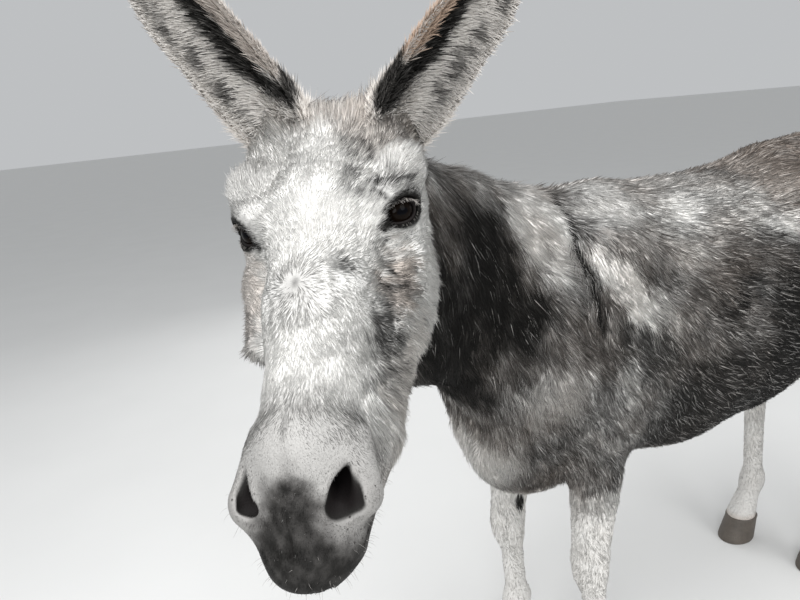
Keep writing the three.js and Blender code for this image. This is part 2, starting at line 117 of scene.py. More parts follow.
def lerp(a, b, t):
    return a + (b - a) * t


def ease(value, start, end):
    """0 before start, 1 after end, smooth between."""
    t = np.clip((np.asarray(value, float) - start) / (end - start), 0, 1)
    return t * t * (3 - 2 * t)


def flatten(vectors, normals):
    """What is left of the vectors along a surface, at unit length."""
    return unit(vectors - normals * dot(vectors, normals)[..., None])


def mirrored(vector, s):
    return np.array((vector[0] * s, vector[1], vector[2]), float)


def basis(direction, side):
    """Rows: side, up and direction, made square to each other."""
    z = unit(direction)
    x = unit(np.asarray(side, float) - z * dot(side, z))
    return np.stack([x, np.cross(z, x), z])


def ripple(points, size, seed, waves=5):
    """A smooth field between about -1 and 1 whose swells are about size across."""
    rng = np.random.default_rng(seed)
    total = np.zeros(len(points), np.float32)
    for _ in range(waves):
        wave = unit(rng.normal(size=3)) * (2 * math.pi / size) * rng.uniform(0.55, 1.5)
        total += np.sin(points @ wave.astype(np.float32) + np.float32(rng.uniform(0, 6.28)))
    return total / math.sqrt(waves)


def mottle(points, size, seed):
    """A field with detail at several sizes, between about -1 and 1."""
    fields = [ripple(points, size / 2.1 ** i, seed + i, 6) / 1.7 ** i for i in range(4)]
    return sum(fields) / 1.6


# ---- masses: each gives about how far points lie outside it


def elliptic_reach(x, y, z, width, height, depth):
    """How far points lie outside an egg shape round the origin, along the line to it."""
    reach = np.sqrt(x * x + y * y + z * z) + 1e-6
    ratio = np.sqrt((x / width) ** 2 + (y / height) ** 2 + (z / depth) ** 2) + 1e-8
    return reach - np.minimum(reach / ratio, 2 * np.maximum(width, height))


def lump(centre, radii):
    """An egg-shaped mass."""
    centre = np.array(centre, np.float32)
    width, height, depth = (np.float32(radius) for radius in radii)

    def form(p):
        q = p - centre
        return elliptic_reach(q[:, 0], q[:, 1], q[:, 2], width, height, depth)

    return form


def limb(start, end, start_radii, end_radii, side=(1, 0, 0)):
    """A tapering mass between two points; each pair of radii is along side, then square to it."""
    origin = np.array(start, np.float32)
    along = np.array(end, float) - np.array(start, float)
    length = np.float32(np.linalg.norm(along))
    x, up, z = basis(along, side)
    axes = np.stack([x, up, z], 1).astype(np.float32)

    def form(p):
        q = (p - origin) @ axes
        t = np.clip(q[:, 2] / length, 0, 1)
        width = lerp(np.float32(start_radii[0]), np.float32(end_radii[0]), t)
        height = lerp(np.float32(start_radii[1]), np.float32(end_radii[1]), t)
        depth = np.minimum(width, height)
        return elliptic_reach(q[:, 0], q[:, 1], q[:, 2] - t * length, width, height, depth)

    return form


def chain(stations, side=(1, 0, 0)):
    """Limbs from each station to the next; a station is a point and its radii."""
    return [limb(a[0], b[0], a[1], b[1], side) for a, b in zip(stations, stations[1:])]


def soft_min(a, b, softness):
    """The smaller of two values, with a fillet where they meet."""
    near = np.maximum(softness - np.abs(a - b), 0) / softness
    return np.minimum(a, b) - near * near * softness * 0.25


def blend(softness, masses):
    first, *others = masses

    def form(p):
        return functools.reduce(lambda total, mass: soft_min(total, mass(p), softness), others, first(p))

    return form


def carve(value, masses, p, softness):
    """The value at p after the masses are taken away."""
    return functools.reduce(lambda total, mass: -soft_min(-total, mass(p), softness), masses, value)


def hollow(softness, form, masses):
    return lambda p: carve(form(p), masses, p, softness)


def around(centre, radius, form):
    """The form, worked out only inside a ball that holds it with room to spare."""
    centre = np.array(centre, np.float32)

    def bounded(p):
        off = np.sqrt(((p - centre) ** 2).sum(1)) - radius
        result = np.maximum(off, 0) + 70
        near = off < 0
        if near.any():
            result[near] = form(p[near])
        return result.astype(np.float32)

    return bounded


def both_sides(make):
    return make(1) + make(-1)


# ---- trunk and legs

TRUNK = blend(60, [
    *chain([
        ((0, -85, 790), (122, 180)),
        ((0, 60, 778), (172, 256)),
        ((0, 230, 760), (208, 258)),
        ((0, 400, 766), (210, 252)),
        ((0, 560, 822), (186, 212)),
        ((0, 705, 862), (145, 155)),
    ]),
    limb((0, -70, 935), (0, 110, 965), (50, 72), (48, 58)),  # withers
    limb((0, 580, 1000), (0, 700, 1020), (80, 60), (66, 56)),  # croup
    lump((0, -70, 592), (100, 130, 112)),  # brisket
    *both_sides(lambda s: [
        limb((s * 112, 45, 925), (s * 128, -105, 770), (42, 80), (55, 85)),  # shoulder blade
        limb((s * 128, -110, 750), (s * 112, 10, 635), (52, 62), (50, 66)),  # upper arm
        limb((s * 60, -170, 770), (s * 64, -130, 620), (60, 62), (52, 60)),  # breast
        lump((s * 140, 525, 965), (42, 62, 42)),  # point of hip
        limb((s * 105, 605, 890), (s * 122, 642, 715), (82, 165), (64, 118)),  # thigh
        limb((s * 68, 760, 890), (s * 92, 748, 715), (58, 70), (48, 60)),  # buttock
        lump((s * 140, 550, 685), (52, 80, 92)),  # stifle
    ]),
])


def foreleg(s, step):
    x = s * FORE_STANCE
    return blend(22, [
        limb((s * SHOULDER_WIDTH, step * 0.2, 650), (x, step - 25, 370), (50, 68), (33, 40)),
        lump((x, step - 27, 335), (37, 39, 50)),  # knee
        limb((x, step - 20, 300), (x, step - 16, 160), (24, 28), (23, 27)),  # cannon
        lump((x, step - 14, 146), (28, 34, 33)),  # fetlock
        limb((x, step - 24, 130), (x, step - 52, 62), (25, 26), (36, 39)),  # pastern
    ])


def hindleg(s, step):
    x = s * HIND_STANCE
    return blend(22, [
        limb((s * 118, step * 0.2 + 635, 700), (s * 95, step + 708, 490), (54, 96), (33, 50)),
        lump((x, step + 733, 440), (33, 46, 54)),  # hock
        limb((x, step + 758, 520), (x, step + 776, 466), (14, 20), (18, 20)),  # point of the hock
        limb((x, step + 745, 410), (x, step + 752, 175), (25, 32), (23, 28)),  # cannon
        lump((x, step + 754, 155), (29, 34, 34)),  # fetlock
        limb((x, step + 744, 135), (x, step + 714, 62), (25, 26), (36, 39)),  # pastern
    ])


LEGS = blend(20, [
    *(around((s * 104, -10, 350), 470, foreleg(s, FORE_STEP[side])) for side, s in SIDES),
    *(around((s * 104, 700, 390), 500, hindleg(s, HIND_STEP[side])) for side, s in SIDES),
])
TAIL = around((0, 860, 700), 500, blend(14, chain([
    ((0, 740, 990), (27, 27)),
    ((0, 832, 968), (25, 25)),
    ((0, 888, 890), (22, 22)),
    ((0, 902, 770), (17, 17)),
    ((0, 904, 560), (12, 12)),
])))

# ---- head, in its own frame: the origin is between the eyes and the nose points along -y

HEAD_AXES = np.array(
    Matrix.Rotation(math.radians(HEAD_TURN), 3, "Z")
    @ Matrix.Rotation(math.radians(HEAD_DROP), 3, "X")
    @ Matrix.Rotation(math.radians(HEAD_TILT), 3, "Y")
)


def from_head(points):
    return np.asarray(points, float) @ HEAD_AXES.T + HEAD_PLACE


def to_head(points):
    return ((points - HEAD_PLACE.astype(np.float32)) @ HEAD_AXES.astype(np.float32)).astype(np.float32)


def turned(vectors):
    """Directions of the head's frame in the body's."""
    return np.asarray(vectors, float) @ HEAD_AXES.T


SKULL = blend(28, [
    lump((0, 92, -5), (82, 92, 66)),  # braincase
    limb((0, 112, 12), (0, 0, 14), (60, 50), (70, 46)),  # forehead
    lump((0, 134, 28), (52, 36, 42)),  # poll
    limb((0, 5, 4), (0, -120, -14), (66, 52), (52, 46)),  # root of the nose
    limb((0, -120, -14), (0, -256, -38), (48, 46), (34, 37)),  # nasal bone
    limb((0, -10, -45), (0, -235, -66), (74, 55), (48, 42)),  # upper jaw
    limb((0, 60, -100), (0, -230, -98), (54, 46), (40, 28)),  # between the jaws
    *both_sides(lambda s: [
        limb((s * 68, -16, 32), (s * 89, 40, 28), (18, 18), (22, 22)),  # brow
        limb((s * 82, 38, 4), (s * 78, 85, -20), (18, 20), (22, 28)),  # behind the eye
        lump((s * EYE_PLACE[0], EYE_PLACE[1], EYE_PLACE[2]), (24, 24, 24)),  # lids
        limb((s * 78, -20, -36), (s * 76, 65, -42), (23, 24), (24, 30)),  # cheekbone
        limb((s * 82 - 7, -30, -50), (s * 68 - 7, -115, -56), (18, 22), (15, 20)),  # facial crest
        lump((s * 60, 18, -100), (36, 102, 76)),  # cheek
        limb((s * 60, 72, -128), (s * 41, -195, -105), (30, 42), (27, 27)),  # jaw
        limb((s * 79, 46, 34), (s * 62, 114, 36), (23, 25), (32, 33)),  # temple
        limb((s * 60, 122, 6), (s * 58, 158, 40), (36, 40), (28, 32)),  # root of the ear
    ]),
])
MUZZLE = blend(18, [
    SKULL,
    limb((0, -254, -42), (0, -314, -88), (42, 34), (35, 27)),  # end of the nose
    lump((0, -310, -92), (34, 30, 22)),  # upper lip
    limb((0, -230, -114), (0, -298, -120), (38, 22), (30, 16)),  # lower lip
    lump((0, -286, -130), (26, 26, 15)),  # chin
    *both_sides(lambda s: [
        limb((s * 35, -240, -48), (s * 44, -281, -60), (18, 18), (21, 22)),  # wing of the nostril
        limb((s * 40, -205, -88), (s * 23 + 3, -298, -96), (27, 27), (18, 20)),  # side of the lips
    ]),
])
HEAD = around((0, -60, -40), 380, hollow(14, MUZZLE, both_sides(lambda s: [
    lump((s * 62, 60, 68), (18, 26, 9)),  # above the eye
    lump((s * 72, -140, -2), (16, 60, 16)),  # beside the nasal bone
])))
NECK = around((70, -200, 940), 480, blend(60, chain([
    ((0, -30, 850), (118, 181)),
    ((14, -150, 890), (100, 172)),
    ((48, -265, 948), (84, 160)),
    ((88, -350, 1003), (76, 131)),
    (tuple(from_head((0, 125, -55))), (66, 98)),
], side=(0.96, 0.28, 0))))


def body_form(p):
    """The tips of the coat."""
    trunk = soft_min(around((0, 320, 780), 760, TRUNK)(p), NECK(p), 60)
    whole = soft_min(soft_min(trunk, LEGS(p), 26), TAIL(p), 16)
    return soft_min(whole, HEAD(to_head(p)), 40)


# ---- openings of the face


def nostril(s):
    """A drop-shaped opening, narrow above and wide at its lower, inner end, with a passage behind it."""
    outward = (s * 0.97, 0, -0.25)
    wide = 0.5 + 0.5 * s  # the right one is narrower
    x, back = s * (5.5 - 5.5 * wide), 5 - 5 * wide
    return [
        limb(
            (s * 41 + x, -276 + 1.5 * back, -33), (s * 33 + x, -298 + back, -51),
            (1.6 + wide, 2 + 5 * wide), (7 + 4.5 * wide, 7 + 6 * wide), side=outward,
        ),
        limb(
            (s * 44 + 0.6 * x, -283 + back, -38), (s * 41 + 0.8 * x, -297 + back, -51),
            (1.6 + 4.4 * wide, 1.4 + 2.6 * wide), (6 + 5 * wide, 5 + 2 * wide), side=outward,
        ),
        limb(
            (s * 33 + 1.4 * x, -290, -48), (s * 27, -225, -58),
            (3 + 5 * wide, 8 + 6 * wide), (5 + 3 * wide, 7 + 5 * wide), side=outward,
        ),
    ]


def mouth_groove(s):
    return [limb((s * 2, -341, -100), (s * 34, -300, -93), (3, 9), (3, 9), side=(0, 0.22, 1)),
            limb((s * 34, -300, -93), (s * 52, -232, -84), (2.5, 8), (1.5, 4), side=(0, 0.22, 1))]


def eye_frame(s):
    """Along the eye to its outer corner, up, and out of it."""
    return [mirrored(axis, s) for axis in basis(EYE_OUT, EYE_ALONG)]


def about_eye(h, s):
    """Places beside the eye's middle: along the eye, up, and how far off."""
    along, up, _ = eye_frame(s)
    q = h - mirrored(EYE_PLACE, s)
    return q @ along, q @ up, np.linalg.norm(q, axis=1)


def eye_socket(s):
    """The gap between the lids, and the room behind them for the eye."""
    along, up, out = (axis.astype(np.float32) for axis in eye_frame(s))
    centre = mirrored(EYE_PLACE, s).astype(np.float32)

    def form(p):
        q = p - centre
        length, height, forward = q @ along, q @ up, q @ out
        slit = np.sqrt((length / EYE_SLIT[0]) ** 2 + (height / EYE_SLIT[1]) ** 2) * EYE_SLIT[1] - EYE_SLIT[1]
        gap = np.maximum(slit, 4 - forward)
        return np.minimum(gap, np.sqrt((q ** 2).sum(1)) - EYE_RADIUS - 0.4)

    return form


LIP_GROOVE = limb((-9, -305, -40), (-6, -327.5, -68), (2.2, 4.4), (2.2, 4.4))
LIP_FILL = limb((-43, -289, -60), (-27, -303, -85), (12, 13), (14, 15))
OPENINGS = [*both_sides(nostril), *both_sides(mouth_groove), LIP_GROOVE]
SOCKETS = [eye_socket(s) for _, s in SIDES]


def coat_depth(p, h):
    """How deep the coat is, from the skin to its tips. h is the place in the head's frame."""
    depth = np.full(len(p), COAT_DEPTHS["body"], np.float32)
    depth = lerp(depth, COAT_DEPTHS["leg"], ease(p[:, 2], 620, 420))
    depth = lerp(depth, COAT_DEPTHS["foot"], ease(p[:, 2], 300, 120))
    in_head = ease(h[:, 1], 150, 60) * ease(np.abs(p[:, 1] + 500), 480, 420)
    depth = lerp(depth, COAT_DEPTHS["face"], in_head)
    depth = lerp(depth, COAT_DEPTHS["muzzle"], in_head * ease(h[:, 1], -170, -250))
    for _, s in SIDES:
        from_eye = np.linalg.norm(h - mirrored(EYE_PLACE, s), axis=1)
        depth = lerp(depth, COAT_DEPTHS["lids"], in_head * ease(from_eye, 46, 24))
    return depth


def skin_form(p):
    h = to_head(p)
    form = body_form(p) + coat_depth(p, h)
    near = np.abs(h - np.array((0, -120, -40), np.float32)).max(1) < 240
    face = h[near]
    value = soft_min(form[near], LIP_FILL(face), 10)
    value = carve(value, OPENINGS, face, 5)
    form[near] = carve(value, SOCKETS, face, 2.5)
    return form


# ---- surfaces


def in_parts(work, points, count=300000):
    """The work on many points, done a part at a time to spare memory."""
    return np.concatenate([work(points[i:i + count]) for i in range(0, len(points), count)])


def slopes(form, points, step=0.6):
    """The form's value at the points, and the direction in which it grows."""
    value = in_parts(form, points)
    shifts = np.eye(3, dtype=np.float32) * step
    rise = [in_parts(form, points + shift) - in_parts(form, points - shift) for shift in shifts]
    return value, np.stack(rise, 1) / (2 * step)


def settle(form, points, rounds=2):
    """Moves points on to the surface."""
    for _ in range(rounds):
        value, slope = slopes(form, points)
        size = np.maximum((slope ** 2).sum(1), 0.25)
        points = points - slope * np.clip(value / size, -5, 5)[:, None]
    return points.astype(np.float32)


def grid_lines(*spans):
    """Coordinates along one axis: each span is (start, step), and the last only ends it."""
    pieces = [np.arange(a[0], b[0], a[1]) for a, b in zip(spans, spans[1:])]
    return np.concatenate(pieces).astype(np.float32)


def grid_values(form, lines, block=4):
    """The form on a grid, worked out only in the blocks that the surface may cross."""
    coarse = [np.unique(np.append(axis[::block], axis[-1])) for axis in lines]
    corners = np.stack(np.meshgrid(*coarse, indexing="ij"), -1).reshape(-1, 3)
    values = in_parts(form, corners).reshape([len(axis) for axis in coarse])
    spans = [np.diff(axis) for axis in coarse]
    squares = [span ** 2 for span in spans]
    reach = np.sqrt(squares[0][:, None, None] + squares[1][None, :, None] + squares[2][None, None, :])
    low = np.full(reach.shape, np.inf)
    high = -low
    for i, j, k in itertools.product((0, 1), repeat=3):
        corner = values[i:i + reach.shape[0], j:j + reach.shape[1], k:k + reach.shape[2]]
        low, high = np.minimum(low, corner), np.maximum(high, corner)
    crossed = (low < 0.95 * reach) & (high > -0.95 * reach)
    own = [np.minimum(np.arange(len(axis)) // block, n - 1) for axis, n in zip(lines, reach.shape)]
    grid = np.where(low < 0, -1e3, 1e3)[np.ix_(*own)].astype(np.float32)
    wanted = np.zeros(grid.shape, bool)
    before = [np.maximum(index - (np.arange(len(index)) % block == 0), 0) for index in own]
    for blocks in itertools.product(*zip(own, before)):
        wanted |= crossed[np.ix_(*blocks)]
    places = np.argwhere(wanted)
    points = np.stack([axis[places[:, i]] for i, axis in enumerate(lines)], 1)
    grid[wanted] = in_parts(form, points)
    return grid


def grid_surface(grid, lines):
    """One point in each cell that the surface crosses, and a quad across each edge that it cuts."""
    inside = grid < 0
    shape = [n - 1 for n in grid.shape]
    count = np.zeros(shape, np.int8)
    for i, j, k in itertools.product((0, 1), repeat=3):
        count += inside[i:shape[0] + i, j:shape[1] + j, k:shape[2] + k]
    cells = np.argwhere((count > 0) & (count < 8))
    index = np.full(shape, -1, np.int32)
    index[tuple(cells.T)] = np.arange(len(cells))
    points = np.zeros((len(cells), 3))
    crossings = np.zeros(len(cells))
    for axis, u, v in itertools.product(range(3), (0, 1), (0, 1)):
        start = cells + np.insert((u, v), axis, 0)
        end = cells + np.insert((u, v), axis, 1)
        a, b = grid[tuple(start.T)], grid[tuple(end.T)]
        cut = (a < 0) != (b < 0)
        t = np.where(cut, a / np.where(cut, a - b, 1), 0)[:, None]
        low = np.stack([line[start[:, i]] for i, line in enumerate(lines)], 1)
        high = np.stack([line[end[:, i]] for i, line in enumerate(lines)], 1)
        points += lerp(low, high, t) * cut[:, None]
        crossings += cut
    points /= crossings[:, None]
    faces = []
    for axis in range(3):
        others = [i for i in range(3) if i != axis]
        ahead = [slice(None)] * 3
        behind = [slice(None)] * 3
        ahead[axis], behind[axis] = slice(1, None), slice(0, -1)
        edges = np.argwhere(inside[tuple(behind)] != inside[tuple(ahead)])
        edges = edges[(edges[:, others] > 0).all(1)]

        def cell(u, v):
            place = edges.copy()
            place[:, others[0]] -= u
            place[:, others[1]] -= v
            return index[tuple(place.T)]

        quads = np.stack([cell(1, 1), cell(0, 1), cell(0, 0), cell(1, 0)], 1)
        outward = inside[tuple(edges.T)] != (axis == 1)
        quads[~outward] = quads[~outward][:, ::-1]
        faces.append(quads)
    return points.astype(np.float32), np.concatenate(faces)


@functools.lru_cache
def skin_surface():
    """The skin's points, directions out of it, and quads."""
    fine, rough = ((3.0, 10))
    finest = 0.75 * fine
    lines = (
        grid_lines(
            (-262, rough), (-142, 6), (-56, 9), (48, 6), (84, fine), (405, finest), (520, fine), (610, 0),
        ),
        grid_lines(
            (-900, fine), (-690, finest), (-560, fine), (-396, 8), (-130, 6), (66, rough), (590, 7), (950, 0),
        ),
        grid_lines((44, rough), (852, finest), (960, fine), (1250, 0)),
    )
    points, quads = grid_surface(grid_values(skin_form, lines), lines)
    points = settle(skin_form, points)
    _, slope = slopes(skin_form, points, 1.2)
    return points, unit(slope), quads


# ---- making pieces


def frame_shift():
    """From the millimetres used here to the frame's metres."""
    eye = (np.array(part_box("eye_left")[0]) + np.array(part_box("eye_left")[1])) / 2
    return eye - from_head(EYE_PLACE) * MM


SHIFT = frame_shift()


def new_mesh(name, points, faces, smooth=True):
    """A mesh from points in millimetres, and faces that all have the same number of corners."""
    mesh = bpy.data.meshes.new(name)
    faces = np.asarray(faces, np.int32)
    mesh.vertices.add(len(points))
    mesh.vertices.foreach_set("co", (np.asarray(points, float) * MM + SHIFT).astype(np.float32).ravel())
    mesh.loops.add(faces.size)
    mesh.loops.foreach_set("vertex_index", faces.ravel())
    mesh.polygons.add(len(faces))
    mesh.polygons.foreach_set("loop_start", np.arange(0, faces.size, faces.shape[1], dtype=np.int32))
    mesh.polygons.foreach_set("use_smooth", np.full(len(faces), smooth))
    mesh.update(calc_edges=True)
    return mesh


def set_numbers(mesh, **fields):
    for name, values in fields.items():
        layer = mesh.attributes.new(name, "FLOAT", "POINT")
        layer.data.foreach_set("value", np.asarray(values, np.float32))


def add_piece(name, mesh, material, replaces=()):
    piece = bpy.data.objects.new(name, mesh)
    bpy.context.scene.collection.objects.link(piece)
    mesh.materials.append(material)
    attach(piece, "root")
    if replaces:
        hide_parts(*replaces)
    return piece


# ---- shader nodes


def arithmetic(operation, swapped=False):
    def method(self, other):
        return self.math(operation, *((other, self) if swapped else (self, other)))

    return method


class Field:
    """A socket's value, on which arithmetic adds Math nodes."""

    __add__, __radd__ = arithmetic("ADD"), arithmetic("ADD", True)
    __sub__, __rsub__ = arithmetic("SUBTRACT"), arithmetic("SUBTRACT", True)
    __mul__, __rmul__ = arithmetic("MULTIPLY"), arithmetic("MULTIPLY", True)

    def __init__(self, tree, socket):
        self.tree = tree
        self.socket = socket

    def math(self, operation, *values):
        return self.tree.node("ShaderNodeMath", {"operation": operation}, dict(enumerate(values)))

    def above(self, start, end):
        """0 at start, 1 at end, smooth between."""
        return self.tree.node(
            "ShaderNodeMapRange",
            {"interpolation_type": "SMOOTHSTEP"},
            {"Value": self, "From Min": start, "From Max": end, "To Min": 0.0, "To Max": 1.0},
        )


class Finish:
    """A material's node tree."""

    def __init__(self, name):
        self.material = bpy.data.materials.new(name)
        self.material.use_nodes = True
        self.tree = self.material.node_tree
        self.shader = self.tree.nodes["Principled BSDF"]

    def set_socket(self, socket, value):
        if isinstance(value, Field):
            self.tree.links.new(value.socket, socket)
        elif socket.type == "RGBA":
            socket.default_value = (*value, 1)
        else:
            socket.default_value = value

    def node(self, kind, settings=None, values=None, output=0):
        made = self.tree.nodes.new(kind)
        for name, value in (settings or {}).items():
            setattr(made, name, value)
        for name, value in (values or {}).items():
            self.set_socket(made.inputs[name], value)
        return Field(self, made.outputs[output])

    def attribute(self, name):
        return self.node("ShaderNodeAttribute", {"attribute_name": name}, output="Fac")

    def place(self, scale=(1, 1, 1)):
        """The place on the piece, stretched."""
        here = self.node("ShaderNodeTexCoord", output="Object")
        return self.node("ShaderNodeVectorMath", {"operation": "MULTIPLY"}, {0: here, 1: scale})

    def noise(self, size, detail=3.0, stretch=(1, 1, 1), roughness=0.5):
        return self.node("ShaderNodeTexNoise", values={
            "Vector": self.place(stretch), "Scale": 1 / size, "Detail": detail, "Roughness": roughness,
        })

    def spots(self, size):
        """The distance to the nearest of many scattered spots, in sizes."""
        values = {"Vector": self.place(), "Scale": 1 / size}
        return self.node("ShaderNodeTexVoronoi", values=values, output="Distance")

    def mix(self, factor, a, b):
        """Two colours mixed; 6 and 7 are the node's colour inputs, and 2 is its colour output."""
        return self.node("ShaderNodeMix", {"data_type": "RGBA"}, {0: factor, 6: a, 7: b}, 2)

    def shade(self, colour, amount):
        """The colour made lighter or darker by a number near 1."""
        grey = self.node("ShaderNodeCombineXYZ", values={0: amount, 1: amount, 2: amount})
        return self.node("ShaderNodeVectorMath", {"operation": "MULTIPLY"}, {0: colour, 1: grey})

    def bump(self, height, distance, strength):
        return self.node("ShaderNodeBump", values={
            "Height": height, "Distance": distance, "Strength": strength,
        })

    def finish(self, **values):
        for name, value in values.items():
            self.set_socket(self.shader.inputs[name.replace("_", " ")], value)
        return self.material


# ---- markings


def patch(points, centre, radii, edge=0.35, rough=0.0, seed=0):
    """1 inside a soft-edged egg-shaped patch and 0 outside it; rough breaks up its border."""
    away = np.sqrt((((points - np.array(centre, np.float32)) / np.array(radii, np.float32)) ** 2).sum(1))
    if rough:
        away = away + rough * mottle(points, min(radii), seed)
    return 1 - ease(away, 1 - edge, 1 + edge)


def over(*masks):
    """The strongest of some masks."""
    return functools.reduce(np.maximum, masks)


def patches(points, rows):
    """The strongest of some patches; a row is the patch's share and then what patch() takes."""
    return over(*(share * patch(points, *shape) for share, *shape in rows))


TAN_PATCHES = (
    (0.5, (70, -78, -22), (20, 40, 28), 0.5, 0.3, 5),
    (0.3, (-86, -70, -30), (24, 60, 34), 0.5, 0.25, 6),
    (0.2, (60, -140, -100), (40, 90, 40), 0.5, 0.25, 7),
)
ROUGH_GREYS = (  # about the brows and the whorl
    (0.8, (46, 50, 52), (20, 18, 18), 0.5, 0.5, 21),
    (0.6, (42, -14, 54), (17, 34, 18), 0.5, 0.5, 22),
    (0.8, (66, -20, 44), (20, 24, 18), 0.5, 0.35, 32),
    (0.5, (36, -102, 28), (30, 9, 18), 0.6, 0.45, 24),
)
SMOOTH_GREYS = (  # below the eye, on the forehead and along the nose
    (0.5, (86, -42, -4), (18, 22, 14), 0.5, 0.3, 34),
    (0.2, (-22, 30, 60), (22, 20, 18), 0.6, 0.5, 33),
    (0.06, (-68, 30, 46), (18, 24, 24), 0.6, 0.5, 23),
    (0.9, (61, -132, -30), (13, 28, 26), 0.5, 0.4, 25),
    (0.5, (43, -225, -28), (7, 18, 10), 0.7, 0.4, 28),
    (0.35, (-2, -256, 2), (2.5, 16, 10), 0.5, 0.3, 36),
)
HANGING_GREYS = (  # on the cheeks
    (0.55, (66, -146, -60), (26, 40, 46), 0.5, 0.5, 35),
    (0.16, (74, -90, -60), (26, 50, 30), 0.5, 0.5, 37),
    (0.62, (70, -78, -22), (22, 44, 30), 0.5, 0.4, 39),
    (0.6, (82, -60, -150), (30, 60, 34), 0.6, 0.5, 26),
    (0.3, (70, -170, -92), (26, 40, 26), 0.6, 0.5, 38),
    (0.45, (-84, -120, -60), (24, 50, 40), 0.6, 0.5, 27),
)
WHITE_OVALS = (  # over and behind the left eye
    (1, (89, 29, 42), (15, 19, 20), 0.25, 0.15, 3),
    (1, (99, -34, -34), (16, 18, 27), 0.35, 0.15, 4),
)
NOSTRIL_RIMS = (
    (1, (45, -292, -50), (21, 28, 26), 0.4),
    (1.1, (-52, -288, -50), (19, 28, 26), 0.4),
)
NOSE_DOWN = (0, 14, 26, 45, 60, 75, 95, 120)  # places down the end of the nose
NOSE_REACH = (-4, 4, 15, 26, 31, 46, 56, 62)  # how far its dark reaches to each side there


def nose_dark(h, blot, fine):
    """The dark end of the nose, and painted shade in the groove down the upper lip."""
    x, y, z = h.T
    aside = np.abs(x + 5 * ease(-z, 16, 50)) - np.interp(-z, NOSE_DOWN, NOSE_REACH)
    nose = (1 - ease(aside + 5 * blot, -14, 10)) * ease(-z + 7 * fine, -10, 38) * ease(-y, 248, 286)
    below = patch(h, (40, -307, -66), (17, 18, 11), 0.6, 0.2, 30)
    # Painted shade in the groove down the upper lip.
    groove_shade = np.abs(x + 8.5 - 0.12 * (-z - 42)) + 6 * ease(-z, 60, 68) + 6 * ease(z, -42, -36)
    groove_shade = (1 - ease(groove_shade, 0.8, 2.6)) * ease(-y, 290, 300)
    return np.clip(nose * (1 - 0.5 * below), 0, 1), groove_shade


def eye_dark(h, s, rough):
    """The dark rim of an eye with its corners, painted shade in the crease of the fold over it, and a painted
    shadow above it.
    """
    a, b, off = about_eye(h, s)
    far = 8 * (off > 48)
    ring = np.sqrt(((a - 1) / 29) ** 2 + ((b - 1) / 20) ** 2) + far
    inner_corner = 1 - ease(np.hypot(a + 27, b + 10) + far, 4, 9)
    outer_corner = 1 - ease(np.hypot(a - 30, b + 2) + far, 3, 8)
    # Painted shade along the crease of the fold over the eye.
    fold_shade = np.abs(b - 30 + 0.15 * a) + 0.5 * np.maximum(np.abs(a + 6) - 21, 0) + 2.5 * far
    fold_shade = (0.6 + 0.25 * s) * (1 - ease(fold_shade, 1.2, 3.6))
    shadow = 0.5 * (1 - ease(ring, 1.0, 1.7)) * (b > 0) * rough
    return over(1 - ease(ring, 0.88, 1.12), inner_corner, outer_corner, fold_shade, shadow)


def head_marks(h):
    """Pale, warm and dark shares of the head's coat."""
    x, y, z = h.T
    blot = mottle(h, 46, 11)
    fine = mottle(h * np.array((1.0, 0.4, 1.0), np.float32), 13, 12)
    strand = mottle(h * np.array((1.0, 1.0, 0.35), np.float32), 12, 13)
    rough = 0.75 + 0.6 * fine
    hanging = 0.8 + 0.6 * strand
    blaze = 1 - ease(np.abs(x) - 0.05 * (y + 127) + 8 * blot + 4 * fine, 46, 66)
    blaze = blaze * ease(z, -60, -20) * (1 - ease(y + 0.5 * x, 50, 90))
    poll = ease(y, 75, 120)
    taupe = patch(h, (52, 74, 48), (44, 44, 42), 0.45, 0.3, 2)
    ovals = patches(h, WHITE_OVALS)
    # Cream hair round the roots of the ears, made paler to lift the shade there: partly painted light.
    lit_ear_bases = over(*(patch(h, (s * 80, 112, 46), (28, 30, 36), 0.4, 0.2, 40) for s in (1, -1)))
    throat = y - 0.3 * z
    nose, groove_shade = nose_dark(h, blot, fine)

    pale = over(0.92 + 0.12 * blot, blaze)
    pale = lerp(pale, 0.74 + 0.12 * blot, over(poll, taupe))
    pale = lerp(pale, 0.1, ease(throat, 70, 110) * ease(-z, 10, 60))
    # Painted shade at the whorl, where the hair parts: greyer hair round it here, and a dark dot at its
    # middle below.
    pale = pale * (1 - 0.66 * patch(h, WHORL, (20, 24, 18), 0.9))
    pale = over(pale, 0.9 * lit_ear_bases, ovals) * (1 - 0.6 * ease(-y, 195, 245))
    pale = pale * (1 - 0.3 * patches(h, NOSTRIL_RIMS)) * (1 - 0.95 * nose)

    warm = over(0.24 * poll + 0.26 * taupe, patches(h, TAN_PATCHES)) * (1 - 0.9 * blaze) * (1 - nose)

    dark = over(
        0.3 * taupe * rough, 0.12 * poll * rough,
        patches(h, ROUGH_GREYS) * rough, patches(h, SMOOTH_GREYS), patches(h, HANGING_GREYS) * hanging,
        0.92 * ease(throat, 62, 92) * ease(-z, 30, 70),
        0.85 * ease(-z, 140, 170) * ease(y, -180, -60),
    ) * (1 - 0.9 * ovals)
    # The dark dot at the whorl is painted shade where the hair parts.
    dark = over(dark, 0.8 * patch(h, WHORL, (4, 7, 16), 0.6)) * (1 - 0.9 * lit_ear_bases) * (1 - nose)
    dark = over(dark, (0.89 + 0.07 * ease(-z, 45, 80) + 0.12 * fine) * nose, 0.97 * groove_shade)
    return pale, warm, over(dark, *(eye_dark(h, s, rough) for _, s in SIDES))


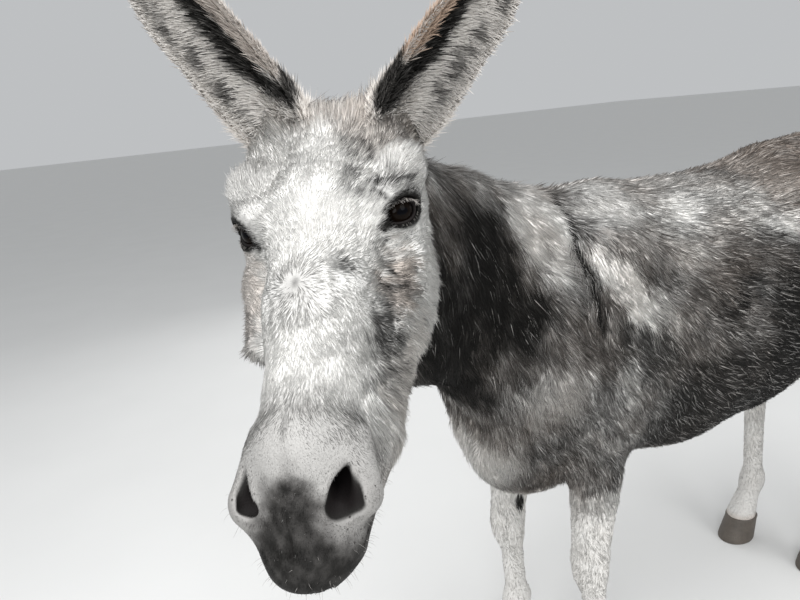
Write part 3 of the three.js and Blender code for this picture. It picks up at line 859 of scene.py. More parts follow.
DARK_NECK = (
    (1, (120, -262, 930), (130, 128, 176), 0.35, 0.25, 44),
    (1, (70, -280, 790), (100, 80, 80), 0.5, 0.2, 58),
)
SLANTED_WHITES = (  # along the back of the shoulder stripe
    (1.2, (170, 14, 902), (60, 29, 70), 0.4, 0.3, 47),
    (0.7, (180, 60, 850), (60, 20, 44), 0.6, 0.45, 51),
)
SHOULDER_WHITES = (
    (0.5, (168, 150, 930), (60, 60, 34), 0.6, 0.5, 52),
    (0.6, (180, -150, 765), (80, 50, 56), 0.6, 0.4, 57),
    (0.6, (180, 6, 745), (60, 22, 40), 0.6, 0.4, 62),
    (0.8, (80, 40, 1015), (70, 60, 34), 0.5, 0.3, 63),
    (0.4, (140, 40, 970), (60, 60, 40), 0.6, 0.4, 64),
)
BACK_WHITES = (
    (1, (168, 388, 940), (40, 50, 24), 0.4, 0.3, 77),
    (1, (108, 190, 994), (44, 44, 18), 0.4, 0.3, 76),
)
STRIPE_HEIGHTS = (780, 840, 942, 1043)
STRIPE_PLACES = (-44, -45, -45, -29)  # how far back the shoulder stripe, dark hair partly painted as crease shade, lies at those heights


def reseeded(rows, change):
    return [(*row[:-1], row[-1] + change) for row in rows]


def side_whites(p, s):
    """White of the shoulder, of the saddle with its flecks and of the hip, on one side."""
    q = p * np.array((s, 1, 1), np.float32)
    slant = q + np.stack([0 * q[:, 0], 0.45 * (q[:, 2] - 890), 0 * q[:, 0]], 1).astype(np.float32)
    shoulder = over(patches(slant, reseeded(SLANTED_WHITES, s)), patches(q, reseeded(SHOULDER_WHITES, s)))
    flecks = ease(mottle(q * np.array((1, 0.7, 1.3), np.float32), 22, 72 + s), -0.12, 0.25)
    saddle = patch(q, (118, 240, 985), (76, 190, 46), 0.35, 0.2, 67 + s)
    hip = over(patches(q, reseeded(BACK_WHITES, s)),
               patch(q, (150, 330, 962), (60, 80, 24), 0.5, 0.4, 79 + s) * flecks)
    elbow = patch(q, (185, 60, 780), (40, 50, 70), 0.6, 0.3, 82 + s)
    return shoulder, flecks, saddle, hip, elbow


def body_marks(p):
    """Pale, warm and dark shares of the coat of the trunk, neck and legs."""
    x, y, z = p.T
    blot = mottle(p, 150, 41)
    streak = mottle(p * np.array((1.0, 0.9, 0.45), np.float32), 36, 42)
    pale = 0.22 + 0.12 * blot + 0.2 * streak
    dark = 0.4 - 0.14 * blot - 0.2 * streak
    warm = 0.1 + 0.1 * mottle(p, 220, 43)

    near = patches(p, DARK_NECK)
    far = patch(p, (-10, -260, 960), (120, 150, 150), 0.5, 0.2, 45)
    crest = patch(p, (82, -94, 1026), (84, 70, 100), 0.35, 0.2, 46) * (1 + 0.2 * streak)
    crest = np.clip(crest, 0, 1)
    top = 0.4 * patch(p, (46, -190, 1090), (60, 120, 26), 0.5, 0.3, 48)
    dark = over(dark, (1.0 - 0.14 * streak) * near, 0.6 * far) * (1 - 0.95 * crest) * (1 - top)
    pale = over(pale * (1 - 0.7 * near), 0.98 * crest, top)

    for s in (1, -1):
        shoulder, flecks, saddle, hip, elbow = side_whites(p, s)
        pale = over(pale, np.clip(shoulder, 0, 1), 0.45 * saddle, saddle * flecks, hip)
        dark = dark * (1 - np.clip(over(shoulder, 0.5 * saddle, 1.1 * saddle * flecks, hip), 0, 1))
        dark = over(dark, 0.8 * elbow * (1 - shoulder))
    back = ease(z, 950, 1020) * ease(y, -30, 40) * (1 - ease(y, 300, 400))
    pale, dark = over(pale, (0.55 + 0.12 * streak) * back), dark * (1 - 0.7 * back)
    croup = ease(y, 340, 430) * ease(z, 900, 1000)
    pale = over(pale, (0.42 + 0.1 * streak) * croup * (1 - ease(y, 440, 520)))
    warm = over(warm, 0.34 * croup)
    barrel = ease(y, 100, 220) * (1 - ease(z, 850, 920))
    flank = ease(y, 230, 320) * (1 - ease(z, 830, 900)) * (1 - 0.7 * ease(y, 400, 560))
    # Painted shadow on the lower barrel behind the forelegs, towards the belly.
    girth_shadow = ease(y, 40, 110) * (1 - ease(z, 730, 810))
    dark = over(
        dark * (1 - 0.5 * croup), 0.4 * croup * ease(y, 430, 530),
        0.5 * patch(p, (160, -86, 880), (40, 24, 60), 0.5, 0.3, 59),
        (0.86 - 0.3 * streak) * barrel * (1 - pale), 0.97 * flank, 0.9 * girth_shadow,
    )
    pale = pale * (1 - 0.5 * barrel)

    # The shoulder stripe: a dark line of hair that also carries painted shade for the crease of the fold
    # there.
    stripe_at = np.interp(z, STRIPE_HEIGHTS, STRIPE_PLACES) + 1.5 * ripple(p, 70, 90)
    stripe_and_crease_shade = (1 - ease(np.abs(y - stripe_at), 3.0, 6.5)) * ease(z, 800, 850)
    spine = (1 - ease(np.abs(x), 5, 13)) * ease(z, 960, 1000) * ease(y, -60, -20)
    stripes_and_crease_shade = over(stripe_and_crease_shade, 0.25 * spine)
    pale, dark = pale * (1 - 0.9 * stripes_and_crease_shade), over(dark, stripes_and_crease_shade)

    belly = ease(-z, -548, -515)
    chest = ease(-y, 150, 200) * ease(-z, -690, -630)
    legs = ease(-z, -560, -440)
    pale = over(pale, 0.75 * belly, 0.95 * chest, (0.92 + 0.06 * blot) * legs)
    dark = dark * (1 - 0.9 * over(belly, chest, legs))
    warm = over(warm * (1 - 0.6 * legs), 0.4 * ease(-z, -84, -64))
    chestnuts = (patch(p, (s * 66, FORE_STEP[side] - 12, 404), (9, 13, 20), 0.2) for side, s in SIDES)
    return pale, warm, over(dark, *chestnuts)


def head_share(p, h):
    """1 on the head and 0 on the neck, with a soft border."""
    behind = h[:, 1] - 0.28 * h[:, 2] + 14 * ripple(h, 50, 95)
    return (1 - ease(behind, 88, 140)) * ease(-p[:, 1], 330, 390)


def marks(p):
    """Pale, warm and dark shares of the coat at points on the body."""
    h = to_head(p)
    share = head_share(p, h)
    return [np.clip(lerp(b, a, share), 0, 1) for a, b in zip(head_marks(h), body_marks(p))]


# ---- materials


def coat_colour(finish, looks):
    """The coat's colour from the shares that the mesh carries."""
    colour = finish.mix(finish.attribute("pale"), looks.grey, looks.pale)
    colour = finish.mix(finish.attribute("warm"), colour, looks.warm)
    return finish.mix(finish.attribute("dark"), colour, looks.dark)


def coat_finish(name, looks):
    finish = Finish(name)
    tip = finish.attribute("tip")
    tone = finish.attribute("tone")
    pale = finish.attribute("pale") * (1 - finish.attribute("dark"))
    grain = finish.noise(0.004, 4.0)
    # Each tuft is darker towards its root: painted shade deep in the coat, between the tufts. Pale hair takes
    # less of it.
    depth = 0.6 + 0.4 * pale + (0.55 - 0.45 * pale) * tip
    amount = depth * (1 + (0.36 - 0.3 * pale) * tone) * (0.92 + 0.16 * grain)
    colour = finish.shade(coat_colour(finish, looks), amount)
    return finish.finish(
        Base_Color=colour,
        Roughness=0.62 + 0.2 * grain,
        Normal=finish.bump(finish.noise(0.0011, 2.0), 0.0002, 0.4),
        Specular_IOR_Level=0.12,
    )


def skin_finish(name, looks):
    finish = Finish(name)
    bare = finish.attribute("bare")
    pores = finish.spots(0.0016)
    hair = finish.noise(0.0022, 5.0, roughness=0.7)
    follicles = (1 - finish.spots(0.0068).above(0.1, 0.2)) * finish.attribute("follicles")
    colour = finish.shade(coat_colour(finish, looks), (0.8 + 0.3 * hair) * (0.94 + 0.12 * pores))
    colour = finish.mix(follicles * 0.85, colour, looks.bare)
    # Painted shade deep in the nostrils and mouth: the colour goes to the dark inner skin.
    colour = finish.mix(finish.attribute("wet"), colour, looks.inside)
    height = hair * (1 - bare) + pores * 0.5 * bare
    return finish.finish(
        Base_Color=colour,
        Roughness=0.86 - 0.3 * bare,
        Normal=finish.bump(height, 0.0007, 0.8),
        Specular_IOR_Level=0.12,
    )


def rim_finish(name, looks):
    """Bare dark skin round the eyes."""
    finish = Finish(name)
    creases = finish.noise(0.0016, 4.0, (1, 1, 1.8))
    colour = finish.mix(creases, looks.inside, looks.bare)
    return finish.finish(
        Base_Color=colour, Roughness=0.4 + 0.3 * creases,
        Normal=finish.bump(creases, 0.0005, 0.8), Specular_IOR_Level=0.1,
    )


def horn_finish(name, looks):
    finish = Finish(name)
    rings = finish.noise(0.009, 3.0, (0.15, 0.15, 1.6))
    grain = finish.noise(0.0014, 4.0, (1, 1, 0.12))
    stain = finish.noise(0.03, 3.0)
    colour = finish.mix(grain, looks.horn, looks.horn_pale)
    colour = finish.shade(colour, 0.55 + 0.7 * stain)
    return finish.finish(
        Base_Color=colour, Roughness=0.42 + 0.3 * grain,
        Normal=finish.bump(rings + 0.35 * grain, 0.0016, 0.9),
    )


def eye_finish(name, looks):
    finish = Finish(name)
    iris = finish.attribute("iris")
    pupil = finish.attribute("pupil")
    fibres = finish.noise(0.0012, 4.0, (1, 1, 3))
    colour = finish.mix(iris, looks.inside, looks.iris)
    colour = finish.shade(colour, 0.25 + 0.5 * fibres)
    colour = finish.mix(pupil, colour, looks.pupil)
    return finish.finish(
        Base_Color=colour, Roughness=0.05 + 0.15 * (1 - iris), Coat_Weight=0.02, Coat_Roughness=0.03,
        Specular_IOR_Level=0.04,
    )


def floor_finish(name, looks):
    finish = Finish(name)
    grain = finish.noise(0.35, 5.0)
    return finish.finish(Base_Color=finish.shade(looks.floor, 0.97 + 0.06 * grain), Roughness=0.9)


# ---- tufts and locks

PATCH = 0.0015  # half the width of a tuft's patch on the coat's map


def lock_template(rings, blade):
    """The triangles of one lock: rings of left, right and top, then a tip; only a blade has no root point."""
    left, right, top = (0, 1, 2) if blade else (1, 2, 3)
    faces = [(left, right, top)] if blade else [(left, 0, top), (right, top, 0), (left, right, 0)]
    for ring in range(rings - 1):
        a, b = left + 3 * ring, left + 3 + 3 * ring
        for i, j in ((0, 2), (2, 1), (1, 0)):
            faces += [(a + i, a + j, b + j), (a + i, b + j, b + i)]
    left, right, top = (corner + 3 * (rings - 1) for corner in (left, right, top))
    tip = top + 1
    faces += [(left, top, tip), (right, tip, top), (left, tip, right)]
    return np.array(faces, np.int32)


def lock_mesh(name, lines, across, up, width, places, shares, seed, thickness=0.45, tip_start=0.0):
    """A closed lock along each line of points; places are the roots' places on the coat's map."""
    count, length = lines.shape[:2]
    blade = length == 2
    steps = np.array([0.0]) if blade else np.arange(1, length - 1) / (length - 1)
    rings = len(steps)
    first = 0 if blade else 1
    size = first + 3 * rings + 1
    points = np.empty((count, size, 3), np.float32)
    points[:, 0] = lines[:, 0]
    points[:, -1] = lines[:, -1]
    for ring, t in enumerate(steps):
        half = (width * (0.5 if rings == 1 else 0.56 - 0.34 * t))[:, None]
        middle = lines[:, ring + first]
        points[:, first + 3 * ring] = middle - across * half
        points[:, first + 3 * ring + 1] = middle + across * half
        points[:, first + 3 * ring + 2] = middle + up * half * 2 * thickness
    template = lock_template(rings, blade)
    faces = (np.arange(count, dtype=np.int32)[:, None, None] * size + template).reshape(-1, 3)
    mesh = new_mesh(name, points.reshape(-1, 3), faces)
    along = np.concatenate([[0] * first, np.repeat(steps, 3), [1]])
    rng = np.random.default_rng(seed)
    pale, warm, dark = shares
    # tip runs from 0 at a root to 1 at a tip. The coat's finish darkens the root end as painted shade, and
    # tip_start lessens it.
    set_numbers(
        mesh,
        tip=np.tile(tip_start + (1 - tip_start) * along, count),
        tone=np.repeat(np.clip(rng.normal(0, 0.5, count), -1, 1), size),
        pale=np.repeat(pale, size), warm=np.repeat(warm, size), dark=np.repeat(dark, size),
    )
    map_across = np.tile([-1.0, 1.0, 0.0], rings)
    map_along = np.repeat(steps * 2 - 1, 3) + np.tile([0, 0, 0.4], rings)
    root = np.array([(0.0, -1.0)] * first).reshape(-1, 2)
    local = np.concatenate([root, np.stack([map_across, map_along], 1), [(0, 1)]])
    corners = np.clip(places, 0.002, 0.998)[:, None, :] + local[None] * PATCH
    layer = mesh.uv_layers.new(name="OFBake")
    layer.uv.foreach_set("vector", corners.astype(np.float32)[:, template].ravel())
    return mesh


def unwrap(points, start, end, up):
    """Places on the unit square for points round an axis: along it, and round it."""
    axis = np.array(end, float) - np.array(start, float)
    side, top, along = basis(axis, up)
    q = points - np.array(start, float)
    round_it = 0.5 + np.arctan2(q @ top, q @ side) / (2 * math.pi)
    return np.stack([q @ along / np.linalg.norm(axis), round_it], 1)


# the regions of the coat, each left one followed by its right one
MUZZLE_COAT, FACE, CHEEKS, NECK_LEFT, NECK_RIGHT, SHOULDER_LEFT, SHOULDER_RIGHT = range(7)
BARREL_LEFT, BARREL_RIGHT, HINDQUARTERS, LEGS_COAT = range(7, 11)


def region_of(p, h):
    x, y, z = p.T
    head = head_share(p, h) > 0.5
    neck = (p - np.array((10, -125, 900), np.float32)) @ np.array((-0.1, 0.87, -0.3), np.float32) < 30
    right = np.where(neck, x - np.interp(-y, (30, 150, 265, 350, 480), (0, 14, 48, 88, 150)), x) < 0
    return np.select(
        [head & (h[:, 1] < -222), head & (h[:, 2] > -42), head, neck & (z > 600), z < 500, y < 150, y < 500],
        [MUZZLE_COAT, FACE, CHEEKS, NECK_LEFT + right, LEGS_COAT, SHOULDER_LEFT + right, BARREL_LEFT + right],
        HINDQUARTERS,
    )


def covered(p, h):
    """0 in the nostrils, the mouth's line and between the lids, 1 where hair grows."""
    under = body_form(p) + coat_depth(p, h)
    open_skin = ease(-under, 0.8, 2.5)
    for _, s in SIDES:
        along, up, off = about_eye(h, s)
        ring = np.sqrt((along / 24) ** 2 + (up / 17) ** 2) + (off > 42)
        open_skin = over(open_skin, 1 - ease(ring, 0.9, 1.0))
    return 1 - open_skin


@functools.lru_cache
def skin_faces():
    """For each quad of the skin: its middle, area, region, and how far hair grows on it."""
    points, _, quads = skin_surface()
    a, b, c, d = (points[quads[:, i]] for i in range(4))
    area = 0.5 * np.linalg.norm(np.cross(c - a, d - b), axis=1)
    middle = ((a + b + c + d) / 4).astype(np.float32)
    h = to_head(middle)
    return middle, area, region_of(middle, h), covered(middle, h)


def scatter(regions, count, seed, weigh=None):
    """Roots spread evenly over some regions of the skin, and the directions out of it."""
    points, normals, quads = skin_surface()
    middle, area, region, growth = skin_faces()
    weight = area * growth * np.isin(region, regions)
    if weigh is not None:
        weight = weight * weigh(middle)
    rng = np.random.default_rng(seed)
    heap = np.cumsum(weight)
    chosen = np.searchsorted(heap, (np.arange(count) + rng.random(count)) / count * heap[-1])
    chosen = np.minimum(chosen, len(quads) - 1)
    u, v = rng.random((2, count, 1))
    shares = np.concatenate([(1 - u) * (1 - v), u * (1 - v), u * v, (1 - u) * v], 1)[:, :, None]
    corners = quads[chosen]
    roots = (points[corners] * shares).sum(1)
    return roots.astype(np.float32), unit((normals[corners] * shares).sum(1))


def crest_share(p):
    """1 along the top line of the neck, from the poll to the withers."""
    x, y, z = p.T
    middle = np.interp(-y, (0, 30, 150, 265, 350, 420, 480), (0, 0, 14, 48, 88, 124, 150))
    return (1 - ease(np.abs(x - middle), 8, 30)) * ease(z, 960, 1010) * ease(-y, -10, 60)


def lie_of_coat(p, normals):
    """The way that the hair lies, along the surface."""
    h = to_head(p)
    from_whorl = h - WHORL
    from_whorl[:, 2] *= 0.4
    swirl = np.cross(from_whorl, (0, 0, 1)) * 0.25
    away = unit(from_whorl + swirl * (1 - ease(np.linalg.norm(from_whorl, axis=1), 20, 90))[:, None])
    side = np.sign(h[:, :1]) * ease(np.abs(h[:, 0]), 20, 60)[:, None]
    cheek = ease(-h[:, 2], 10, 60)[:, None]
    face = lerp(away, side * (0.25, 0, 0) + (0.0, 0.28, -0.95), cheek * ease(h[:, 1], -230, -120)[:, None])
    muzzle = ease(-h[:, 1], 190, 260)[:, None]
    face = lerp(face, side * (0.55, 0, 0) + (0.0, -0.35, -0.75), muzzle)
    x, y, z = p.T
    right = np.where(x > np.interp(-y, (30, 150, 265, 350), (0, 14, 48, 88)), 1.0, -1.0)[:, None]
    body = right * (0.1, 0.05, 0) + (-0.05, 0.14, -0.95)
    for way, share in (  # each takes over from those before it
        (right * (0.12, 0, 0) + (0.0, 0.42, -0.86), ease(y, -190, -60)),  # shoulder
        ((0.0, 0.9, -0.45), ease(y, 40, 260)),  # barrel
        (right * (0.12, 0, 0) + (0.0, 0.5, -0.85), ease(y, 430, 620)),  # rump
        ((0.0, 1.0, 0.0), ease(-z, -600, -520) * ease(y, -60, 40)),  # belly
        ((0.0, 0.12, -1.0), ease(-z, -600, -500) * (np.abs(x) > 40)),  # legs
        (right * (0.5, 0.1, 0) + (-0.3, 0.75, 0.1), crest_share(p)),  # top of the neck
        ((0.0, 0.06, -1.0), (1 - ease(np.abs(y + 46), 10, 26)) * ease(z, 800, 850)),  # along the stripe
    ):
        body = lerp(body, way, share[:, None])
    lie = lerp(body, turned(face), head_share(p, h)[:, None])
    return flatten(lie, normals)


def tufts(roots, normals, lie, length, width, lift, seed):
    """Straight blades that rise from the skin by lift, a share of their length."""
    rng = np.random.default_rng(seed)
    count = len(roots)
    normals = normals.astype(np.float32)
    across = np.cross(lie, normals)
    sway = 0.22 * ripple(roots, 19, seed + 1) + 0.2 * ripple(roots, 60, seed + 2) + rng.normal(0, 0.13, count)
    lie = unit(lie + across * sway[:, None])
    across = unit(np.cross(lie, normals)).astype(np.float32)
    swell = 1 + 0.35 * ripple(roots, 14, seed + 3)
    length = length * rng.uniform(0.7, 1.25, count) * (1 + 0.15 * ripple(roots, 33, seed + 4))
    rise = np.maximum(length * lift * swell * rng.uniform(0.6, 1.3, count), 0.25)
    tips = roots + lie * length[:, None] + normals * rise[:, None]
    off = rise - in_parts(skin_form, tips.astype(np.float32))
    tips = tips + normals * np.clip(off, -0.5 * length, 0.5 * length)[:, None]
    lines = np.stack([roots - normals * 0.8, tips], 1).astype(np.float32)
    return lines, across, normals, width * rng.uniform(0.75, 1.25, count)


def speckled(shares, seed, spread=0.3, roan=0.0):
    """Each tuft takes its own share of the colours, so that pale and dark hairs mix."""
    rng = np.random.default_rng(seed)
    pale, warm, dark = shares
    calm = spread * (1 - 0.75 * pale * (1 - dark))
    shift = rng.normal(0, 1, len(pale)) * calm
    pale = np.clip(pale + shift * (1 - np.abs(2 * pale - 1) * 0.5), 0, 1)
    dark = np.clip(dark + (rng.normal(0, 1, len(dark)) * calm - shift * 0.5) * (1.2 - dark) * 0.7, 0, 1)
    white = rng.random(len(dark)) < roan * ease(dark, 0.2, 0.6)
    return np.where(white, np.maximum(pale, 0.6), pale), warm, np.where(white, 0.3 * dark, dark)


def head_map(p):
    return unwrap(to_head(p), (0, 190, -40), (0, -360, -60), (0, 0, 1))


def neck_map(p):
    return unwrap(p, (0, 60, 860), (190, -560, 1060), (0, 0, 1))


def trunk_map(p):
    return unwrap(p, (0, -320, 780), (0, 960, 800), (0, 0, 1))


def leg_map(p):
    """Each leg has a quarter of the square."""
    x, y, z = p.T
    middle = np.where(y < 300, -15, 720)
    turn = 0.5 + np.arctan2(y - middle, np.abs(x) - 96) / (2 * math.pi)
    return np.stack([0.5 * turn + 0.5 * (x > 0), 0.5 * np.clip(z / 560, 0, 1) + 0.5 * (y > 300)], 1)


# name, regions, tufts, length, width, lift, map
COATS = (
    ("coat_forehead", (FACE,), 38000, 15.5, 1.45, 0.09, head_map),
    ("coat_nose", (FACE, MUZZLE_COAT), 38000, 12.5, 1.3, 0.08, head_map),
    ("coat_cheeks", (CHEEKS,), 34000, 20, 1.8, 0.14, head_map),
    ("coat_neck_left", (NECK_LEFT,), 45000, 31, 2.0, 0.12, neck_map),
    ("coat_neck_right", (NECK_RIGHT,), 14000, 32, 4.2, 0.18, neck_map),
    ("coat_shoulder_left", (SHOULDER_LEFT,), 32000, 28, 2.3, 0.11, trunk_map),
    ("coat_shoulder_right", (SHOULDER_RIGHT,), 10000, 32, 5.0, 0.16, trunk_map),
    ("coat_barrel_left", (BARREL_LEFT,), 26000, 33, 2.7, 0.11, trunk_map),
    ("coat_barrel_right", (BARREL_RIGHT,), 11000, 34, 5.4, 0.16, trunk_map),
    ("coat_hindquarters", (HINDQUARTERS,), 18000, 32, 4.8, 0.12, trunk_map),
    ("coat_legs", (LEGS_COAT,), 18000, 16, 2.8, 0.13, leg_map),
)


def coat_piece(name, regions, count, length, width, lift, to_map, finish, seed):
    """The tufts of one part of the coat, shorter on the muzzle, round the eyes and down the legs."""
    count = count

    def weigh(p):
        h = to_head(p)
        nose = ease(-h[:, 1], 60, 90)
        face = {"coat_forehead": 1 - nose, "coat_nose": nose}.get(name, 1.0)
        return face * (1 + 0.6 * crest_share(p))

    roots, normals = scatter(regions, count, seed, weigh)
    h = to_head(roots)
    size = np.ones(count)
    rise = np.full(count, lift)
    if set(regions) & {MUZZLE_COAT, FACE, CHEEKS}:
        size = lerp(size, 0.3, ease(-h[:, 1], 205, 280))
        for _, s in SIDES:
            near = np.linalg.norm(h - mirrored(EYE_PLACE, s), axis=1)
            size = size * lerp(0.5, 1.0, ease(near, 26, 60))
            brow = patch(h, (s * 84, 14, 44), (22, 30, 18), 0.5)
            size, rise = size * (1 + 0.35 * brow), rise + 0.22 * brow
        poll = ease(h[:, 1], 60, 120) * ease(h[:, 2], -10, 20)
        size, rise = size * (1 + 0.7 * poll), rise + 0.35 * poll
        rise = rise + 0.12 * ease(np.abs(h[:, 0]), 60, 84) * ease(-h[:, 2], 20, 50)
    size = size * lerp(0.5, 1.0, ease(roots[:, 2], 90, 420))
    crest = crest_share(roots)
    lie = lie_of_coat(roots, normals)
    lines, across, up, widths = tufts(
        roots, normals, lie, length * size * (1 + 0.12 * crest), width * (0.35 + 0.65 * size),
        rise + 0.12 * crest, seed,
    )
    roan = (0.1 * ease(roots[:, 1], -200, 100) + 0.01) * (0.3 if width > 4 else 1)
    shares = speckled(marks(roots), seed + 9, roan=roan)
    mesh = lock_mesh(name, lines, across, up, widths, to_map(roots), shares, seed)
    return add_piece(name, mesh, finish)


# ---- eyes and lids


def grid_faces(rows, columns, round_trip=False):
    """Quads between closed rows of points; a round trip joins the last row to the first."""
    i, j = np.meshgrid(np.arange(rows if round_trip else rows - 1), np.arange(columns), indexing="ij")
    here, ahead = i * columns, (i + 1) % rows * columns
    after = (j + 1) % columns
    return np.stack([here + j, here + after, ahead + after, ahead + j], -1).reshape(-1, 4)


def close_ends(mesh):
    """Fills the open ends of a lofted mesh and points its faces out."""
    work = bmesh.new()
    work.from_mesh(mesh)
    bmesh.ops.holes_fill(work, edges=[edge for edge in work.edges if edge.is_boundary], sides=0)
    bmesh.ops.recalc_face_normals(work, faces=work.faces)
    work.to_mesh(mesh)
    work.free()
    return mesh


def eyeball(side, s, finish):
    rows, columns = 48, 64
    polar = np.linspace(0.015, math.pi - 0.015, rows)[:, None]
    turn = np.linspace(0, 2 * math.pi, columns, endpoint=False)[None]
    along, up, out = eye_frame(s)
    radius = EYE_RADIUS - 1.2 + 1.1 * (1 - ease(polar, 0.0, 1.1))
    x = np.sin(polar) * np.cos(turn)
    y = np.sin(polar) * np.sin(turn)
    z = np.cos(polar) + 0 * turn
    local = x[..., None] * along + y[..., None] * up + z[..., None] * out
    points = from_head(mirrored(EYE_PLACE, s) + (radius[..., None] * local).reshape(-1, 3))
    mesh = close_ends(new_mesh(f"eye_{side}_ball", points, grid_faces(rows, columns)))
    iris = 1 - ease(polar + 0 * turn, 0.66, 0.78)
    slot = np.sqrt((x / 0.36) ** 2 + (y / 0.2) ** 2)
    pupil = (1 - ease(slot, 0.8, 1.0)) * (z > 0)
    set_numbers(mesh, iris=iris.ravel(), pupil=pupil.ravel())
    return add_piece(f"eye_{side}_ball", mesh, finish, [f"eye_{side}"])


def lid_edge(turn):
    """The opening between the lids, as distances over the eye from its middle; the inner corner dips."""
    level, rise = np.cos(turn), np.sin(turn)
    x = np.where(level > 0, *LID_LENGTHS) * level
    y = LID_HEIGHT * np.sign(rise) * np.abs(rise) ** np.where(rise > 0, 0.85, 1.1)
    corner = ease(-level, 0.75, 1.0)
    return x - 2.5 * corner, y - 3.5 * corner - 1.0


def over_eye(s, x, y, height):
    """Points above the eye, x and y being distances over its surface from the middle."""
    along, up, out = eye_frame(s)
    away = np.hypot(x, y)
    angle = away / EYE_RADIUS
    flat = np.sin(angle) / np.maximum(away, 1e-6)
    direction = (x * flat)[..., None] * along + (y * flat)[..., None] * up + np.cos(angle)[..., None] * out
    return mirrored(EYE_PLACE, s) + direction * (EYE_RADIUS + height)[..., None]


# how far each line of a lid lies from its edge, and how high over the eye
LID_PROFILE = (
    (12.5, -1.6), (9.5, 0.4), (7.0, 1.9), (5.2, 2.3), (4.0, 2.0), (2.6, 2.4), (1.2, 2.2), (0.3, 1.5),
    (-0.2, 0.6), (0.2, -0.3), (3.0, -1.6), (11.0, -3.0),
)


def lids(side, s, finish):
    columns = 96
    turn = np.linspace(0, 2 * math.pi, columns, endpoint=False)
    edge_x, edge_y = lid_edge(turn)
    away = np.hypot(edge_x, edge_y)
    rows = []
    for outward, height in LID_PROFILE:
        upper = ease(np.sin(turn), -0.2, 0.5)
        scale = 1 + outward * (0.85 + 0.25 * upper) / away
        lift = height * (0.8 + 0.35 * upper) if height > 0 else height + 0 * turn
        rows.append(over_eye(s, edge_x * scale, edge_y * scale, lift))
    points = from_head(np.stack(rows).reshape(-1, 3))
    mesh = close_ends(new_mesh(f"lids_{side}", points, grid_faces(len(rows), columns, True)))
    return add_piece(f"lids_{side}", mesh, finish)


def curved_lines(roots, first, second, length, rings):
    """Lines that leave along the first direction and bend towards the second."""
    steps = np.linspace(0, 1, rings + 2)[None, :, None]
    reach = length[:, None, None]
    return (roots[:, None] + first[:, None] * reach * (steps - 0.5 * steps ** 2)
            + second[:, None] * reach * 0.5 * steps ** 2).astype(np.float32)


def loose_locks(name, roots, first, second, length, width, shares, places, finish, seed, rings=2,
                replaces=()):
    across = unit(np.cross(first, second + np.array((0.01, 0.02, 0.03))))
    lines = curved_lines(roots, unit(first), unit(second), length, rings)
    mesh = lock_mesh(name, lines, across.astype(np.float32), unit(np.cross(across, first)).astype(np.float32),
                     width, places, shares, seed, thickness=0.6, tip_start=0.25)
    return add_piece(name, mesh, finish, replaces)


def even(count, pale, warm, dark):
    return np.full(count, pale), np.full(count, warm), np.full(count, dark)


def lashes(side, s, finish):
    """Pale lashes over the upper lid, and a few below."""
    rng = np.random.default_rng(70 + s)
    count = 130
    turn = np.concatenate([rng.uniform(0.2, 2.3, count - 24), rng.uniform(3.6, 5.9, 24)])
    x, y = lid_edge(turn)
    out_by = 1 + rng.uniform(0.5, 3.0, count) / np.hypot(x, y)
    roots = over_eye(s, x * out_by, y * out_by, np.full(count, 2.6))
    along, up, out = eye_frame(s)
    upper = (np.sin(turn) > 0)[:, None]
    first = out + 0.45 * up * np.where(upper, 1, -1) + along * rng.normal(0, 0.25, count)[:, None]
    second = out * 0.8 + up * np.where(upper, -0.7, -0.6) + along * rng.normal(-0.25, 0.3, count)[:, None]
    length = np.where(upper[:, 0], rng.uniform(8, 14, count), rng.uniform(3, 6, count))
    shares = even(count, 0.62, 0.2, 0.1)
    roots = from_head(roots)
    return loose_locks(f"lashes_{side}", roots, turned(first), turned(second), length,
                       np.full(count, 0.34), shares, head_map(roots), finish, 71 + s, rings=3)


def whiskers(finish):
    """Fine pale feelers on the lips, chin and nostrils."""
    count = 210
    rng = np.random.default_rng(77)

    def weigh(p):
        h = to_head(p)
        lips = ease(-h[:, 2], 62, 100) + 0.5 * ease(np.abs(h[:, 0]), 40, 56)
        return lips * ease(-h[:, 1], 235, 275)

    roots, normals = scatter((MUZZLE_COAT,), count, 78, weigh)
    first = unit(normals + rng.normal(0, 0.25, (count, 3)))
    second = unit(normals * 0.7 + turned((0, -0.2, -0.8)) + rng.normal(0, 0.3, (count, 3)))
    length = rng.uniform(4, 13, count)
    shares = even(count, 0.5, 0.1, 0.3)
    return loose_locks("whiskers", roots - normals, first, second, length, np.full(count, 0.3), shares,
                       head_map(roots), finish, 79, rings=3)


# ---- ears


def ear_frame(side):
    ear = EARS[side]
    up = unit(ear["along"])
    front = np.array(ear["face"], float)
    front = unit(front - up * dot(front, up))
    return np.array(ear["root"], float), up, front, np.cross(up, front)


def ear_curl(t):
    """How far the ear's edges curl forward from its back, from root to tip."""
    return np.radians(lerp(*EAR_CURL, np.clip(t, 0, 1) ** 0.6))


